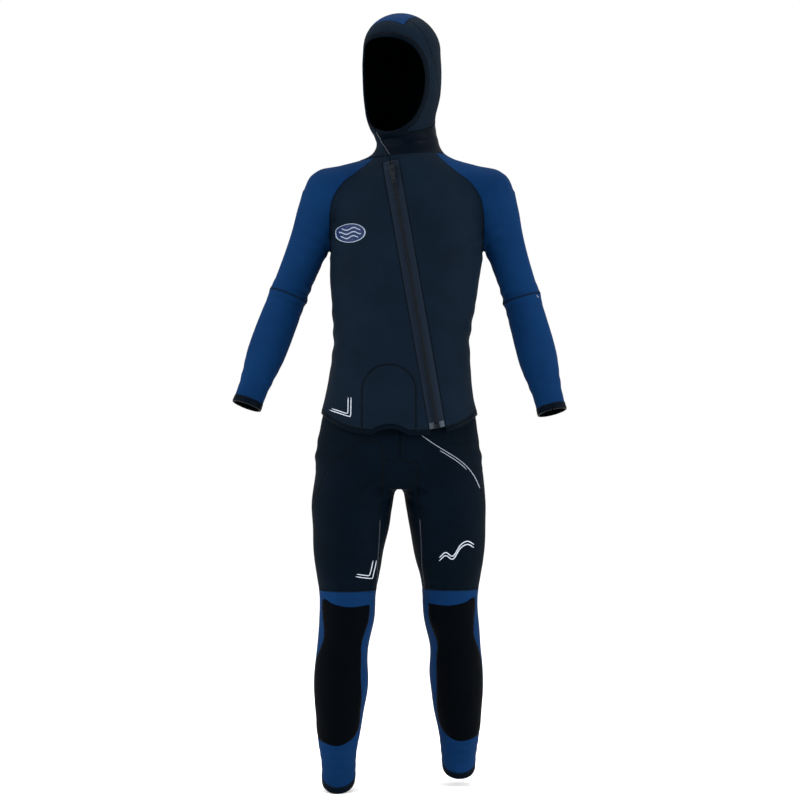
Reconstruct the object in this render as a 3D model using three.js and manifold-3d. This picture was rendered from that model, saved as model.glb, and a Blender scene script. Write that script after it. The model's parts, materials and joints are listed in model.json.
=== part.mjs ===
// Two-piece diving wetsuit: a hooded jacket with a diagonal front zip, worn over high-waisted trousers.
// Millimetres, +Z up. The wearer faces -Y, so the wearer's right side is at -X. Each panel is a piece of
// foam-rubber sheet, cut from the body form along its seams.
import * as THREE from "three";
import { mergeVertices } from "three/addons/utils/BufferGeometryUtils.js";
import Module from "manifold-3d";

const wasm = await Module();
wasm.setup();

// ---- driving dimensions ----
const WALL = 5; // sheet thickness of every panel
const KERF = 0.4; // gap left between panels at a seam
const FIT = 4.5; // room between the trousers and the jacket over them
const RAISED = 0.35; // gap under pieces laid on the outer face
const PAD = 2.2; // thickness of the knee pads
const PRINT = 0.8; // thickness of the badges
const PIPING = 1.6; // height of the hip piping
const REACH = 400; // how far cutting shapes run front to back

const ZIP_BOTTOM = new THREE.Vector3(82, -108, 796);
const ZIP_TOP = new THREE.Vector3(-22, -84, 1388);
const ZIP_BOW = new THREE.Vector3(0, -24, 0); // how far the middle of the zip stands off its chord
const ZIP_HALF = 18; // half the width of the zip's opening between the chest panels
const ZIP_FLAT = 9; // the tapes are flat this far to each side of the teeth

const SHOULDER_CENTRE_X = 20; // the trunk leans a little to the wearer's left at the top
const SHOULDER = { spread: 176, y: 8, z: 1320, radius: 55 };
const ELBOW_AT = 245; // shoulder joint to elbow seam
const FOREARM = 268; // elbow seam to the end of the cuff
const CUFF = 13; // length of the cuff band
const UPPER_ARM_BACK = 2; // degrees that the upper arm leans back
const FOREARM_FORWARD = 13; // degrees that the forearm reaches forward
const ARMS = {
  right: { side: -1, upperSplay: 22.6, forearmSplay: 19.1 },
  left: { side: 1, upperSplay: 18.1, forearmSplay: 13.7 },
};
const UPPER_ARM_RADII = [
  [0, 56],
  [52, 54],
  [105, 47],
  [175, 42],
  [ELBOW_AT, 40],
];
const FOREARM_RADII = [
  [55, 43],
  [105, 43.5],
  [150, 42],
  [195, 36.5],
  [240, 32.5],
  [FOREARM, 33.5],
];

const HEAD = { x: 3, y: -4, turn: 26 }; // the hood faces 26 degrees to the wearer's right
// Egg-shaped face opening: degrees to each side, height of its middle, and its reach above and below that.
const FACE = { spread: 63, z: 1570, above: 90, below: 117 };
const FACE_SEAL = 9; // width of the smooth edge seal
const CROWN_HALF = 42; // half the width of the crown strip
const LEG_CENTRE_X = -2;
const STRIDE = { right: -40, left: 35 }; // how far each ankle stands in front (-) or behind
const ANKLE_Z = { right: 18, left: 37 }; // middle of each ankle's end
const ANKLE_RISE = 0.45; // slope of the ankle cut: it drops towards the instep
const ANKLE_BINDING = 12;
const WAIST_TOP = 1045;
const WAISTBAND = 26;
const HEM = { middle: 784, rise: 50, half: 178 }; // the jacket's hem turns up at the sides
const HEM_BAND = 11;
const HEM_ARCH = { x: -21, half: 39, rise: 14 }; // low arch in the middle of the front hem
const BELLY = { x: -24, half: 58, z: 880 }; // arched panel in the lower front

// Trunk sections: height, centre x, half width, y of the back.
const TRUNK = [
  [762, -3, 186, 128],
  [815, -2, 179, 126],
  [861, -2, 166, 117],
  [906, 0, 158, 102],
  [950, 2, 153, 90],
  [995, 3, 150, 84],
  [1039, 5, 155, 86],
  [1084, 8, 161, 94],
  [1128, 10, 166, 104],
  [1172, 14, 169, 112],
  [1217, 16, 168, 117],
  [1261, 18, 162, 117],
  [1306, 19, 148, 110],
  [1345, 20, 122, 97],
  [1375, 20, 96, 86],
];
// Neck sections: height, centre x, half width, y of the front, y of the back.
const NECK = [
  [1402, 20, 77, -77, 80],
  [1430, 18, 69, -64, 78],
  [1462, 13, 66, -60, 80],
  [1500, 8, 62, -50, 80],
];
// Shoulder yoke sections: distance from the centre, height, radius up and down, radius front to back.
const YOKE = [
  [0, 1358, 51, 64],
  [60, 1354, 52, 62],
  [120, 1338, 53, 58],
  [176, 1322, 54, 56],
  [206, 1318, 44, 46],
  [226, 1316, 20, 22],
];
// Hood sections: height, half width ear to ear, half depth face to nape, shift towards the face.
const HOOD = [
  [1440, 50, 62, 0],
  [1457, 61, 78, 2],
  [1484, 70, 90, 5],
  [1511, 77, 97, 3],
  [1537, 82, 102, 1],
  [1564, 84, 104, 0],
  [1600, 84, 105, -1],
  [1644, 81, 101, -2],
  [1671, 72, 91, -3],
  [1698, 52, 67, -4],
  [1712, 32, 42, -4],
  [1719, 10, 13, -4],
];
// Leg sections: height, distance from the centre, half width, centre y, half depth.
const LEG = [
  [745, 90, 84, 8, 100],
  [700, 95, 91, 8, 106],
  [638, 103, 90, 6, 99],
  [572, 108, 84, 2, 91],
  [505, 113, 75, -2, 81],
  [430, 114, 62, -4, 70],
  [372, 116, 61, -4, 67],
  [315, 125, 57, 4, 62],
  [238, 129, 60, 12, 66],
  [172, 131, 54, 11, 58],
  [105, 134, 44, 8, 49],
  [50, 134, 38, 6, 46],
  [-20, 135, 35, 2, 43],
];
// Pelvis sections below the jacket's hem: height, centre x, half width, y of the front, y of the back.
const PELVIS = [
  [655, -3, 40, -50, 70],
  [672, -3, 95, -80, 106],
  [700, -3, 165, -98, 124],
  [735, -4, 184, -106, 128],
  [768, -4, 180, -110, 124],
];

const SIDES = [
  ["right", -1],
  ["left", 1],
];

// How many points each kind of section has, evenly around it.
const AROUND = { trunk: 20, yoke: 12, arm: 12, hood: 18, leg: 14, face: 20 };

// ---- the zip's arc, which the front of the trunk follows ----
const chord = ZIP_TOP.clone().sub(ZIP_BOTTOM);
const zipAlong = chord.clone().normalize();
const zipOut = ZIP_BOW.clone().addScaledVector(zipAlong, -ZIP_BOW.dot(zipAlong));
const bow = zipOut.length();
zipOut.normalize();
const zipRadius = chord.lengthSq() / (8 * bow) + bow / 2;
const zipCentre = ZIP_TOP.clone()
  .add(ZIP_BOTTOM)
  .multiplyScalar(0.5)
  .addScaledVector(zipOut, bow - zipRadius);
const zipHalfAngle = Math.asin(chord.length() / 2 / zipRadius);
const zipAxis = zipAlong.clone().cross(zipOut).normalize(); // the arc's axis, across the zip

// The point of the arc at an angle from its middle, moved outwards and sideways.
function zipPoint(angle, outwards = 0, across = 0) {
  const radial = zipOut.clone().multiplyScalar(Math.cos(angle)).addScaledVector(zipAlong, Math.sin(angle));
  return zipCentre
    .clone()
    .addScaledVector(radial, zipRadius + outwards)
    .addScaledVector(zipAxis, across);
}

function zipAtHeight(z) {
  let angle = 0;
  for (let i = 0; i < 20; i++) angle += (z - zipPoint(angle).z) / (zipRadius * zipAlong.z);
  return zipPoint(angle);
}

// How far the trunk's face stands off the arc's own plane at a distance across the zip, so that a tape can
// lie flat beside the teeth and then bend to meet the chest panels.
function zipRise(angle, across) {
  if (Math.abs(across) <= ZIP_FLAT) return 0;
  const edge = zipPoint(angle, 0, Math.sign(across) * ZIP_HALF);
  const share = (Math.abs(across) - ZIP_FLAT) / (ZIP_HALF - ZIP_FLAT);
  return (edge.y - frontFace(edge.x, edge.z)) * share;
}

// A bar that follows the zip: between two angles, two distances across and two heights off the arc. With
// bentAs, which gives for an angle the one whose bend it takes, its sides bend down as the trunk's face does.
function zipBar(low, high, left, right, under, over, steps = 14, bentAs = null) {
  const bends = bentAs ? [-ZIP_FLAT, ZIP_FLAT].filter((at) => at > left && at < right) : [];
  const stations = [left, ...bends, right];
  const corner = (angle, height, at) =>
    zipPoint(angle, height + (bentAs ? zipRise(bentAs(angle), at) : 0), at);
  const strips = stations.slice(1).map((to, i) => {
    const from = stations[i];
    const sections = [];
    for (let k = 0; k <= steps; k++) {
      const angle = low + ((high - low) * k) / steps;
      sections.push([
        corner(angle, under, from),
        corner(angle, under, to),
        corner(angle, over, to),
        corner(angle, over, from),
      ]);
    }
    return solid(loft(sections));
  });
  return union(strips);
}

// ---- sections and lofts ----
const squareness = (z) => 2 + 0.4 * THREE.MathUtils.clamp((1380 - z) / 100, 0, 1);

// The trunk's section at a height. Its front is set so that the zip's arc lies on its face.
function trunkAt(height) {
  const z = THREE.MathUtils.clamp(height, TRUNK[0][0], TRUNK[TRUNK.length - 1][0]);
  const row = Math.max(1, TRUNK.findIndex(([top]) => top >= z));
  const [low, high] = [TRUNK[row - 1], TRUNK[row]];
  const share = (z - low[0]) / (high[0] - low[0]);
  const [x, half, back] = [1, 2, 3].map((i) => low[i] + (high[i] - low[i]) * share);
  const power = squareness(z);
  const zip = zipAtHeight(z);
  const reach = (1 - Math.abs((zip.x - x) / half) ** power) ** (1 / power);
  const deep = (back - zip.y) / (1 + reach);
  return { z, x, half, deep, back, power };
}

// The y of the trunk's front face at a place in front view.
function frontFace(x, z) {
  const at = trunkAt(z);
  const u = Math.min(0.999, Math.abs((x - at.x) / at.half));
  return at.back - at.deep - at.deep * (1 - u ** at.power) ** (1 / at.power);
}

// A closed superellipse of count points about a centre, spanned by two half axes.
function section(centre, halfA, halfB, count, power = 2) {
  const points = [];
  for (let i = 0; i < count; i++) {
    const angle = (2 * Math.PI * (i + 0.5)) / count;
    const c = Math.cos(angle);
    const s = Math.sin(angle);
    const size = (Math.abs(c) ** power + Math.abs(s) ** power) ** (-1 / power);
    points.push(
      centre
        .clone()
        .addScaledVector(halfA, c * size)
        .addScaledVector(halfB, s * size),
    );
  }
  return points;
}

function flatSection(x, z, half, front, back, inset, count, power = 2) {
  return section(
    new THREE.Vector3(x, (front + back) / 2, z),
    new THREE.Vector3(half - inset, 0, 0),
    new THREE.Vector3(0, (back - front) / 2 - inset, 0),
    count,
    power,
  );
}

// A closed body through sections of equal point counts, with a fan at each end.
function loft(sections) {
  const count = sections[0].length;
  const position = sections.flat().flatMap((p) => [p.x, p.y, p.z]);
  const index = [];
  for (let r = 0; r + 1 < sections.length; r++)
    for (let i = 0; i < count; i++) {
      const j = (i + 1) % count;
      const [a, b, c, d] = [r * count + i, r * count + j, (r + 1) * count + j, (r + 1) * count + i];
      index.push(a, b, c, a, c, d);
    }
  for (const [ring, end] of [
    [sections[0], 0],
    [sections[sections.length - 1], 1],
  ]) {
    const middle = ring.reduce((sum, p) => sum.add(p), new THREE.Vector3()).divideScalar(count);
    const hub = position.length / 3;
    position.push(middle.x, middle.y, middle.z);
    const first = end * (sections.length - 1) * count;
    for (let i = 0; i < count; i++) {
      const j = (i + 1) % count;
      index.push(...(end ? [hub, first + i, first + j] : [hub, first + j, first + i]));
    }
  }
  return new THREE.BufferGeometry()
    .setAttribute("position", new THREE.BufferAttribute(new Float32Array(position), 3))
    .setIndex(index);
}

// A geometry as a manifold-3d solid, turned the right way out.
function solid(geometry) {
  const bare = geometry.clone();
  bare.deleteAttribute("normal");
  bare.deleteAttribute("uv");
  const merged = mergeVertices(bare, 1e-3);
  const vertProperties = new Float32Array(merged.attributes.position.array);
  const make = (triVerts) => new wasm.Manifold(new wasm.Mesh({ numProp: 3, vertProperties, triVerts }));
  const made = make(new Uint32Array(merged.index.array));
  return made.volume() < 0 ? make(new Uint32Array(merged.index.array).reverse()) : made;
}

const union = (parts) => parts.reduce((whole, part) => whole.add(part));

// A box as a solid, given by its lowest and highest corner.
function box(low, high) {
  const size = new THREE.Vector3(...high).sub(new THREE.Vector3(...low));
  return solid(
    new THREE.BoxGeometry(size.x, size.y, size.z).translate(
      low[0] + size.x / 2,
      low[1] + size.y / 2,
      low[2] + size.z / 2,
    ),
  );
}

// The front-view outline, a Shape in x and z, as a prism that runs from y0 to y1.
function prism(shape, y0 = -REACH, y1 = REACH, curveSegments = 8) {
  const made = new THREE.ExtrudeGeometry(shape, { depth: y1 - y0, bevelEnabled: false, curveSegments });
  return solid(made.rotateX(Math.PI / 2).translate(0, y1, 0));
}

const outline = (points) => new THREE.Shape(points.map(([x, z]) => new THREE.Vector2(x, z)));

// Points along a smooth curve through a few chosen ones.
function smooth(points, steps) {
  return new THREE.SplineCurve(points.map(([x, z]) => new THREE.Vector2(x, z)))
    .getPoints(steps)
    .map((p) => [p.x, p.y]);
}

// A block turned so that its Z lies along a direction, then moved so that its origin is at a point.
function blockAt(block, point, normal) {
  const up = new THREE.Vector3(0, 0, 1);
  const turn = new THREE.Quaternion().setFromUnitVectors(up, normal.clone().normalize());
  return solid(block.applyQuaternion(turn).translate(point.x, point.y, point.z));
}

// The space on one side of a plane through a point, as a large block.
const beyond = (point, normal, size = 900) =>
  blockAt(new THREE.BoxGeometry(size, size, size).translate(0, 0, size / 2), point, normal);

// A thin slab on a plane, of the kerf's width if no other is given.
const planeSlab = (point, normal, thickness = KERF) =>
  blockAt(new THREE.BoxGeometry(600, 600, thickness), point, normal);

// A thin cut of the kerf's width along a front-view curve.
function seamCut(points, y0 = -REACH, y1 = REACH) {
  const left = [];
  const right = [];
  points.forEach(([x, z], i) => {
    const [ax, az] = points[Math.max(i - 1, 0)];
    const [bx, bz] = points[Math.min(i + 1, points.length - 1)];
    const length = Math.hypot(bx - ax, bz - az);
    const nx = (-(bz - az) / length) * (KERF / 2);
    const nz = ((bx - ax) / length) * (KERF / 2);
    left.push([x + nx, z + nz]);
    right.push([x - nx, z - nz]);
  });
  return prism(outline([...left, ...right.reverse()]), y0, y1);
}

// ---- body forms, each at an inset from the outer face ----
function trunkForm(inset) {
  const sections = TRUNK.map(([height]) => {
    const { z, x, half, deep, back, power } = trunkAt(height);
    return flatSection(x, z, half, back - 2 * deep, back, inset, AROUND.trunk, power);
  });
  const neck = NECK.map(([z, x, half, front, back]) =>
    flatSection(x, z, half, front, back, inset, AROUND.trunk),
  );
  return solid(loft([...sections, ...neck]));
}

function yokeForm(inset) {
  const mirrored = [...YOKE.slice(1).reverse().map(([d, ...rest]) => [-d, ...rest]), ...YOKE];
  const sections = mirrored.map(([d, z, up, deep]) =>
    section(
      new THREE.Vector3(SHOULDER_CENTRE_X + d * (1 - inset / 230), 6, z),
      new THREE.Vector3(0, deep - inset, 0),
      new THREE.Vector3(0, 0, up - inset),
      AROUND.yoke,
    ),
  );
  return solid(loft(sections));
}

function armAxis({ side, upperSplay, forearmSplay }) {
  const { degToRad } = THREE.MathUtils;
  const direction = (splay, forward) =>
    new THREE.Vector3(
      side * Math.sin(degToRad(splay)),
      -Math.sin(degToRad(forward)) * Math.cos(degToRad(splay)),
      -Math.cos(degToRad(splay)) * Math.cos(degToRad(forward)),
    );
  const upper = direction(upperSplay, -UPPER_ARM_BACK);
  const lower = direction(forearmSplay, FOREARM_FORWARD);
  const shoulder = new THREE.Vector3(SHOULDER_CENTRE_X + side * SHOULDER.spread, SHOULDER.y, SHOULDER.z);
  const elbow = shoulder.clone().addScaledVector(upper, ELBOW_AT);
  return { shoulder, elbow, upper, lower, bend: upper.clone().add(lower).normalize() };
}

function armForm(arm, inset, extra = 0) {
  const { shoulder, elbow, upper, lower, bend } = armAxis(arm);
  const ringAt = (from, along, distance, radius, normal = along) => {
    const a = new THREE.Vector3(0, 1, 0).cross(normal).normalize().multiplyScalar(radius - inset);
    const b = normal.clone().cross(a).normalize().multiplyScalar(radius - inset);
    return section(from.clone().addScaledVector(along, distance), a, b, AROUND.arm);
  };
  const dome = [-0.93, -0.7, -0.35].map((t) => {
    const radius = (SHOULDER.radius - inset) * Math.sqrt(1 - t * t) + inset;
    return ringAt(shoulder, upper, t * (SHOULDER.radius - inset), radius);
  });
  const upperRings = UPPER_ARM_RADII.map(([d, r], i) =>
    ringAt(shoulder, upper, d, r, i === UPPER_ARM_RADII.length - 1 ? bend : upper),
  );
  const last = FOREARM_RADII.length - 1;
  const lowerRings = FOREARM_RADII.map(([d, r], i) => ringAt(elbow, lower, i === last ? d + extra : d, r));
  return solid(loft([...dome, ...upperRings, ...lowerRings]));
}

// A point of the hood's own frame (right, forward, up) in the part's frame.
const headTurn = THREE.MathUtils.degToRad(HEAD.turn);
const headRight = new THREE.Vector3(Math.cos(headTurn), -Math.sin(headTurn), 0);
const headForward = new THREE.Vector3(-Math.sin(headTurn), -Math.cos(headTurn), 0);
const headPoint = (right, forward, z) =>
  new THREE.Vector3(HEAD.x, HEAD.y, z)
    .addScaledVector(headRight, right)
    .addScaledVector(headForward, forward);

function hoodForm(inset) {
  const sections = HOOD.map(([z, half, deep, shift], i) => {
    const top = HOOD.length - 1;
    const drop = i === top ? inset : (inset * i) / (top + 4);
    const squeeze = Math.max(0.35, 1 - inset / Math.max(half, 12));
    return section(
      headPoint(0, shift, z - drop),
      headRight.clone().multiplyScalar(half * squeeze),
      headForward.clone().multiplyScalar(-deep * squeeze),
      AROUND.hood,
    );
  });
  return solid(loft(sections));
}

function legForm(side, inset) {
  const stride = side < 0 ? STRIDE.right : STRIDE.left;
  const hipZ = LEG[0][0];
  return solid(
    loft(
      LEG.map(([z, offset, half, y, deep]) => {
        const shift = (stride * (hipZ - z)) / hipZ;
        const x = LEG_CENTRE_X + side * offset;
        return flatSection(x, z, half, y + shift - deep, y + shift + deep, inset, AROUND.leg);
      }).reverse(),
    ),
  );
}

// Above the jacket's hem the trousers keep the room FIT inside it. No section there is wider than the
// ones below, so that the jacket lifts off over the waist.
function pelvisForm(inset) {
  const under = WALL + FIT + inset;
  let [right, left, front, rear] = [-REACH, REACH, -REACH, REACH];
  const covered = [];
  const heights = TRUNK.map(([z]) => z).filter((z) => z > HEM.middle && z < WAIST_TOP + 60);
  for (const height of [HEM.middle - 6, ...heights]) {
    const { z, x, half, deep, back, power } = trunkAt(height);
    right = Math.max(right, x - half);
    left = Math.min(left, x + half);
    front = Math.max(front, back - 2 * deep);
    rear = Math.min(rear, back);
    const middle = (left + right) / 2;
    covered.push(flatSection(middle, z, (left - right) / 2, front, rear, under, AROUND.trunk, power));
  }
  const bare = PELVIS.map((row) => flatSection(row[1], row[0], ...row.slice(2), inset, AROUND.trunk, 2.3));
  return solid(loft([...bare, ...covered]));
}

const jacketForm = (inset) =>
  union([
    trunkForm(inset),
    yokeForm(inset),
    hoodForm(inset),
    armForm(ARMS.right, inset, inset > 0 ? 20 : 0),
    armForm(ARMS.left, inset, inset > 0 ? 20 : 0),
  ]);
const trousersForm = (inset) => union([pelvisForm(inset), legForm(-1, inset), legForm(1, inset)]);

// ---- nodes ----
const suit = new THREE.Group();
const MATERIALS = {
  black: new THREE.MeshStandardMaterial({ color: 0x141c28, roughness: 0.85 }),
  blue: new THREE.MeshStandardMaterial({ color: 0x113056, roughness: 0.85 }),
  smooth: new THREE.MeshStandardMaterial({ color: 0x07090c, roughness: 0.45 }),
  pad: new THREE.MeshStandardMaterial({ color: 0x05070b, roughness: 0.6 }),
  tape: new THREE.MeshStandardMaterial({ color: 0x20262f, roughness: 0.9 }),
  tooth: new THREE.MeshStandardMaterial({ color: 0x16191d, roughness: 0.4 }),
  metal: new THREE.MeshStandardMaterial({ color: 0x8a9096, roughness: 0.35, metalness: 1 }),
  print: new THREE.MeshStandardMaterial({ color: 0xb8c0c8, roughness: 0.5 }),
};

function node(name, material, body) {
  const piece = body.decompose().sort((a, b) => b.volume() - a.volume())[0];
  const mesh = piece.getMesh();
  const position = new Float32Array(mesh.numVert * 3);
  for (let i = 0; i < mesh.numVert; i++)
    position.set(mesh.vertProperties.subarray(i * mesh.numProp, i * mesh.numProp + 3), i * 3);
  const geometry = new THREE.BufferGeometry()
    .setAttribute("position", new THREE.BufferAttribute(position, 3))
    .setIndex(new THREE.BufferAttribute(mesh.triVerts, 1));
  geometry.computeVertexNormals();
  const made = new THREE.Mesh(geometry, MATERIALS[material]);
  made.name = name;
  suit.add(made);
}

// ---- the jacket's seams ----
// Raglan seam in front view, from the neck to the armpit, as distances from the shoulders' centre.
const RAGLAN = smooth(
  [
    [50, 1425],
    [73, 1394],
    [105, 1366],
    [138, 1340],
    [160, 1308],
    [168, 1275],
    [170, 1235],
    [171, 1200],
    [176, 1160],
    [195, 1050],
    [215, 680],
  ],
  13,
);
const SEAM_CENTRE_X = 15;
const raglan = (side) => RAGLAN.map(([d, z]) => [SEAM_CENTRE_X + side * d, z]);
const hemHeight = (x) => {
  const arch = Math.max(0, 1 - ((x - HEM_ARCH.x) / HEM_ARCH.half) ** 2);
  return HEM.middle + HEM.rise * Math.abs(x / HEM.half) ** 3.5 + HEM_ARCH.rise * arch;
};
const hemLine = (lift) => {
  const points = [];
  for (let x = -209; x <= 209; x += 19) points.push([x, hemHeight(x) + lift]);
  return points;
};
const NECK_SEAM = { point: new THREE.Vector3(0, -90, 1440), normal: new THREE.Vector3(0, -0.4, 1) };
const COLLAR_BASE = { point: new THREE.Vector3(20, 0, 1402), normal: new THREE.Vector3(-0.07, 0, 1) };
const LAPEL = [
  [-62, 1462],
  [-40, 1426],
  [-18, 1388],
  [-17, 1375],
];
const SIDE_SEAM_Y = 4;

// The wedge of the face opening, which widens forwards from the middle of the head.
function faceWedge(grow) {
  const wide = Math.tan(THREE.MathUtils.degToRad(FACE.spread) + grow / 88);
  const rings = [8, 160].map((forward) => {
    const points = [];
    for (let i = 0; i < AROUND.face; i++) {
      const angle = (2 * Math.PI * (i + 0.5)) / AROUND.face;
      const tall = Math.sin(angle) > 0 ? (FACE.above + grow) / 94 : (FACE.below + grow) / 80;
      const z = FACE.z + forward * tall * Math.sin(angle);
      points.push(headPoint(forward * wide * Math.cos(angle), forward, z));
    }
    return points;
  });
  return solid(loft(rings));
}
const zipEndAngle = zipHalfAngle + 4 / zipRadius;
const belowHem = prism(outline([...hemLine(0), [300, 600], [-300, 600]]));
const shell = jacketForm(0)
  .subtract(jacketForm(WALL))
  .subtract(faceWedge(0))
  .subtract(belowHem)
  .subtract(zipBar(-zipHalfAngle - 0.08, zipEndAngle, -ZIP_HALF, ZIP_HALF, -60, 60));

const aboveCollarBase = beyond(COLLAR_BASE.point, COLLAR_BASE.normal);
const aboveNeckSeam = beyond(NECK_SEAM.point, NECK_SEAM.normal);

// ---- sleeves ----
function sleeve(name, arm) {
  const { elbow, lower, bend } = armAxis(arm);
  const cuffStart = elbow.clone().addScaledVector(lower, FOREARM - CUFF);
  const seam = raglan(arm.side);
  const away = arm.side * 500;
  const sleeveSide = prism(outline([...seam, [away, 680], [away, 1425]]));
  const arms = shell
    .intersect(sleeveSide)
    .subtract(aboveCollarBase)
    .subtract(planeSlab(COLLAR_BASE.point, COLLAR_BASE.normal))
    .subtract(seamCut(seam))
    .subtract(planeSlab(elbow, bend))
    .subtract(planeSlab(cuffStart, lower));
  const belowElbow = beyond(elbow, bend);
  const cuffSpace = beyond(cuffStart, lower);
  node(`sleeve_upper_${name}`, "blue", arms.subtract(belowElbow));
  node(`sleeve_forearm_${name}`, "blue", arms.intersect(belowElbow).subtract(cuffSpace));
  const cuff = arms.intersect(cuffSpace);
  // The left cuff is slit so that a glove or hand passes.
  const slit = box([elbow.x, -REACH, 700], [500, -54, 950]).intersect(
    planeSlab(elbow.clone().addScaledVector(lower, FOREARM), new THREE.Vector3(1, 0, 0.25), 3),
  );
  node(`cuff_${name}`, "smooth", arm.side > 0 ? cuff.subtract(slit) : cuff);
}

sleeve("right", ARMS.right);
sleeve("left", ARMS.left);

// ---- trunk panels ----
const rightSeam = raglan(-1);
const leftSeam = raglan(1);
const bodyOutline = outline([...rightSeam, ...[...leftSeam].reverse()]);
const sideSeam = box([-REACH, SIDE_SEAM_Y - KERF / 2, 700], [REACH, SIDE_SEAM_Y + KERF / 2, 1430]);
const trunk = shell
  .intersect(prism(bodyOutline))
  .subtract(seamCut(rightSeam))
  .subtract(seamCut(leftSeam))
  .subtract(planeSlab(COLLAR_BASE.point, COLLAR_BASE.normal))
  .subtract(aboveCollarBase);
const belowCollar = trunk.subtract(sideSeam);
const bandSpace = prism(outline([...hemLine(HEM_BAND), [300, 600], [-300, 600]]));
const bandTop = prism(outline([...hemLine(HEM_BAND + KERF), [300, 600], [-300, 600]]));
const panels = belowCollar.subtract(bandTop);
const front = box([-REACH, -REACH, 600], [REACH, SIDE_SEAM_Y, 1500]);

const bellyArch = (grow) => {
  const shape = new THREE.Shape();
  shape.moveTo(BELLY.x - BELLY.half - grow, 700);
  shape.lineTo(BELLY.x + BELLY.half + grow, 700);
  shape.lineTo(BELLY.x + BELLY.half + grow, BELLY.z);
  shape.absarc(BELLY.x, BELLY.z, BELLY.half + grow, 0, Math.PI, false);
  return prism(shape, -REACH, 0, 10);
};
// Everything beyond a line along the zip: side 1 is the wearer's left of it, side -1 the right.
function besideZip(side) {
  const near = (-side * KERF) / 2;
  const [left, right] = side > 0 ? [near, REACH] : [-REACH, near];
  return zipBar(-zipHalfAngle * 1.4, zipHalfAngle * 1.4, left, right, -170, 60);
}
const fronts = panels.intersect(front);
node("belly_panel", "black", fronts.intersect(bellyArch(0)).subtract(besideZip(1)));
node("chest_panel_right", "black", fronts.subtract(bellyArch(KERF)).subtract(besideZip(1)));
node("chest_panel_left", "black", fronts.subtract(besideZip(-1)));
node("back_panel", "black", panels.subtract(front));
node("jacket_hem_band", "black", trunk.intersect(bandSpace));

// ---- collar and hood ----
const neckSeamCut = planeSlab(NECK_SEAM.point, NECK_SEAM.normal);
const collarTube = shell.intersect(aboveCollarBase).subtract(aboveNeckSeam).subtract(neckSeamCut);
const lapelCut = seamCut(LAPEL, -REACH, 0);
const bibOutline = outline([...LAPEL, [160, 1375], [160, 1520], [-62, 1520]]);
const bibSpace = (rear) => prism(bibOutline, -REACH, rear);
node("collar_bib", "smooth", collarTube.subtract(lapelCut).intersect(bibSpace(6)));
node("collar", "black", collarTube.subtract(lapelCut).subtract(bibSpace(6 + KERF)));

const hoodShell = shell.intersect(aboveNeckSeam);
const sealOuter = faceWedge(FACE_SEAL);
const aroundSeal = faceWedge(FACE_SEAL + KERF);
// The face panel ends on a plane that leans back from the forehead to the jaw.
const faceLine = headPoint(0, 5, 1600);
const faceLean = headForward.clone().add(new THREE.Vector3(0, 0, -0.5));
const faceSpace = beyond(faceLine, faceLean);
const behindFace = hoodShell
  .subtract(faceSpace)
  .subtract(aroundSeal)
  .subtract(planeSlab(faceLine, faceLean));
const crownSlab = (half) => {
  const slab = new THREE.BoxGeometry(2 * half, 500, 500);
  return solid(slab.rotateZ(-headTurn).translate(HEAD.x, HEAD.y, 1600));
};
const crownWide = crownSlab(CROWN_HALF + KERF);
node("face_seal", "smooth", hoodShell.intersect(sealOuter));
node("hood_face_panel", "black", hoodShell.intersect(faceSpace).subtract(aroundSeal));
node("hood_crown", "blue", behindFace.intersect(crownSlab(CROWN_HALF)));
const hoodSides = behindFace.subtract(crownWide);
for (const [name, side] of SIDES) {
  const outside = beyond(headPoint(0, 0, 1500), headRight.clone().multiplyScalar(side));
  node(`hood_side_${name}`, "black", hoodSides.intersect(outside));
}

// ---- the zip: tapes, teeth, slider, ends and the flap behind it ----
const SLIT = 1; // half the slit between the two rows of teeth, where the slider's post runs
const TOOTH = { wide: 3, high: 3.4 };
const TAPE = 1.2;
const FLAP_HALF = 30; // the underlap reaches behind both chest panels
const FLAP = 2.5;
const TAPE_IN = -2; // the tapes lie this far inside the outer face
const SLIDER = { half: 7.5, long: 26, plate: 1.8, post: 0.6, gap: 0.6 };
const angleOf = (length) => length / zipRadius;
const topAngle = zipHalfAngle - angleOf(4);
const bottomAngle = -zipHalfAngle + angleOf(4);
const teethTop = topAngle - angleOf(9);
const teethBottom = bottomAngle + angleOf(12);

const toothBase = TAPE_IN + TAPE;
const pinLow = toothBase + 0.3;
const TAB = { lift: 0.6, long: 13.5, thick: 0.8 }; // the films welded over the tapes' lower ends
for (const [name, side] of SIDES) {
  const band = (near, far) => (side > 0 ? [near, far] : [-far, -near]);
  const [tapeA, tapeB] = band(SLIT, ZIP_HALF - 0.4);
  const tape = zipBar(bottomAngle, topAngle, tapeA, tapeB, TAPE_IN, toothBase, 14, (angle) => angle);
  node(`zip_tape_${name}`, "tape", tape);
  const [toothA, toothB] = band(SLIT, SLIT + TOOTH.wide);
  const toothBar = (low, high, steps) =>
    zipBar(low, high, toothA, toothB, pinLow, pinLow + TOOTH.high, steps);
  node(`zip_teeth_${name}`, "tooth", toothBar(teethBottom, teethTop, 14));
  node(`zip_top_stop_${name}`, "metal", toothBar(teethTop + angleOf(1), teethTop + angleOf(6), 1));
  const [tabA, tabB] = band(SLIT + TOOTH.wide + 1.5, ZIP_HALF - 1.5);
  const tabLow = bottomAngle + angleOf(0.5);
  const tabHigh = tabLow + angleOf(TAB.long);
  const under = toothBase + TAB.lift;
  const tabMiddle = () => (tabLow + tabHigh) / 2;
  node(
    `zip_end_tab_${name}`,
    "print",
    zipBar(tabLow, tabHigh, tabA, tabB, under, under + TAB.thick, 1, tabMiddle),
  );
}
node(
  "zip_retainer_box",
  "tooth",
  zipBar(bottomAngle, bottomAngle + angleOf(10.5), -SLIT - TOOTH.wide - 1, -0.4, pinLow, pinLow + 4.4, 1),
);
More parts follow.
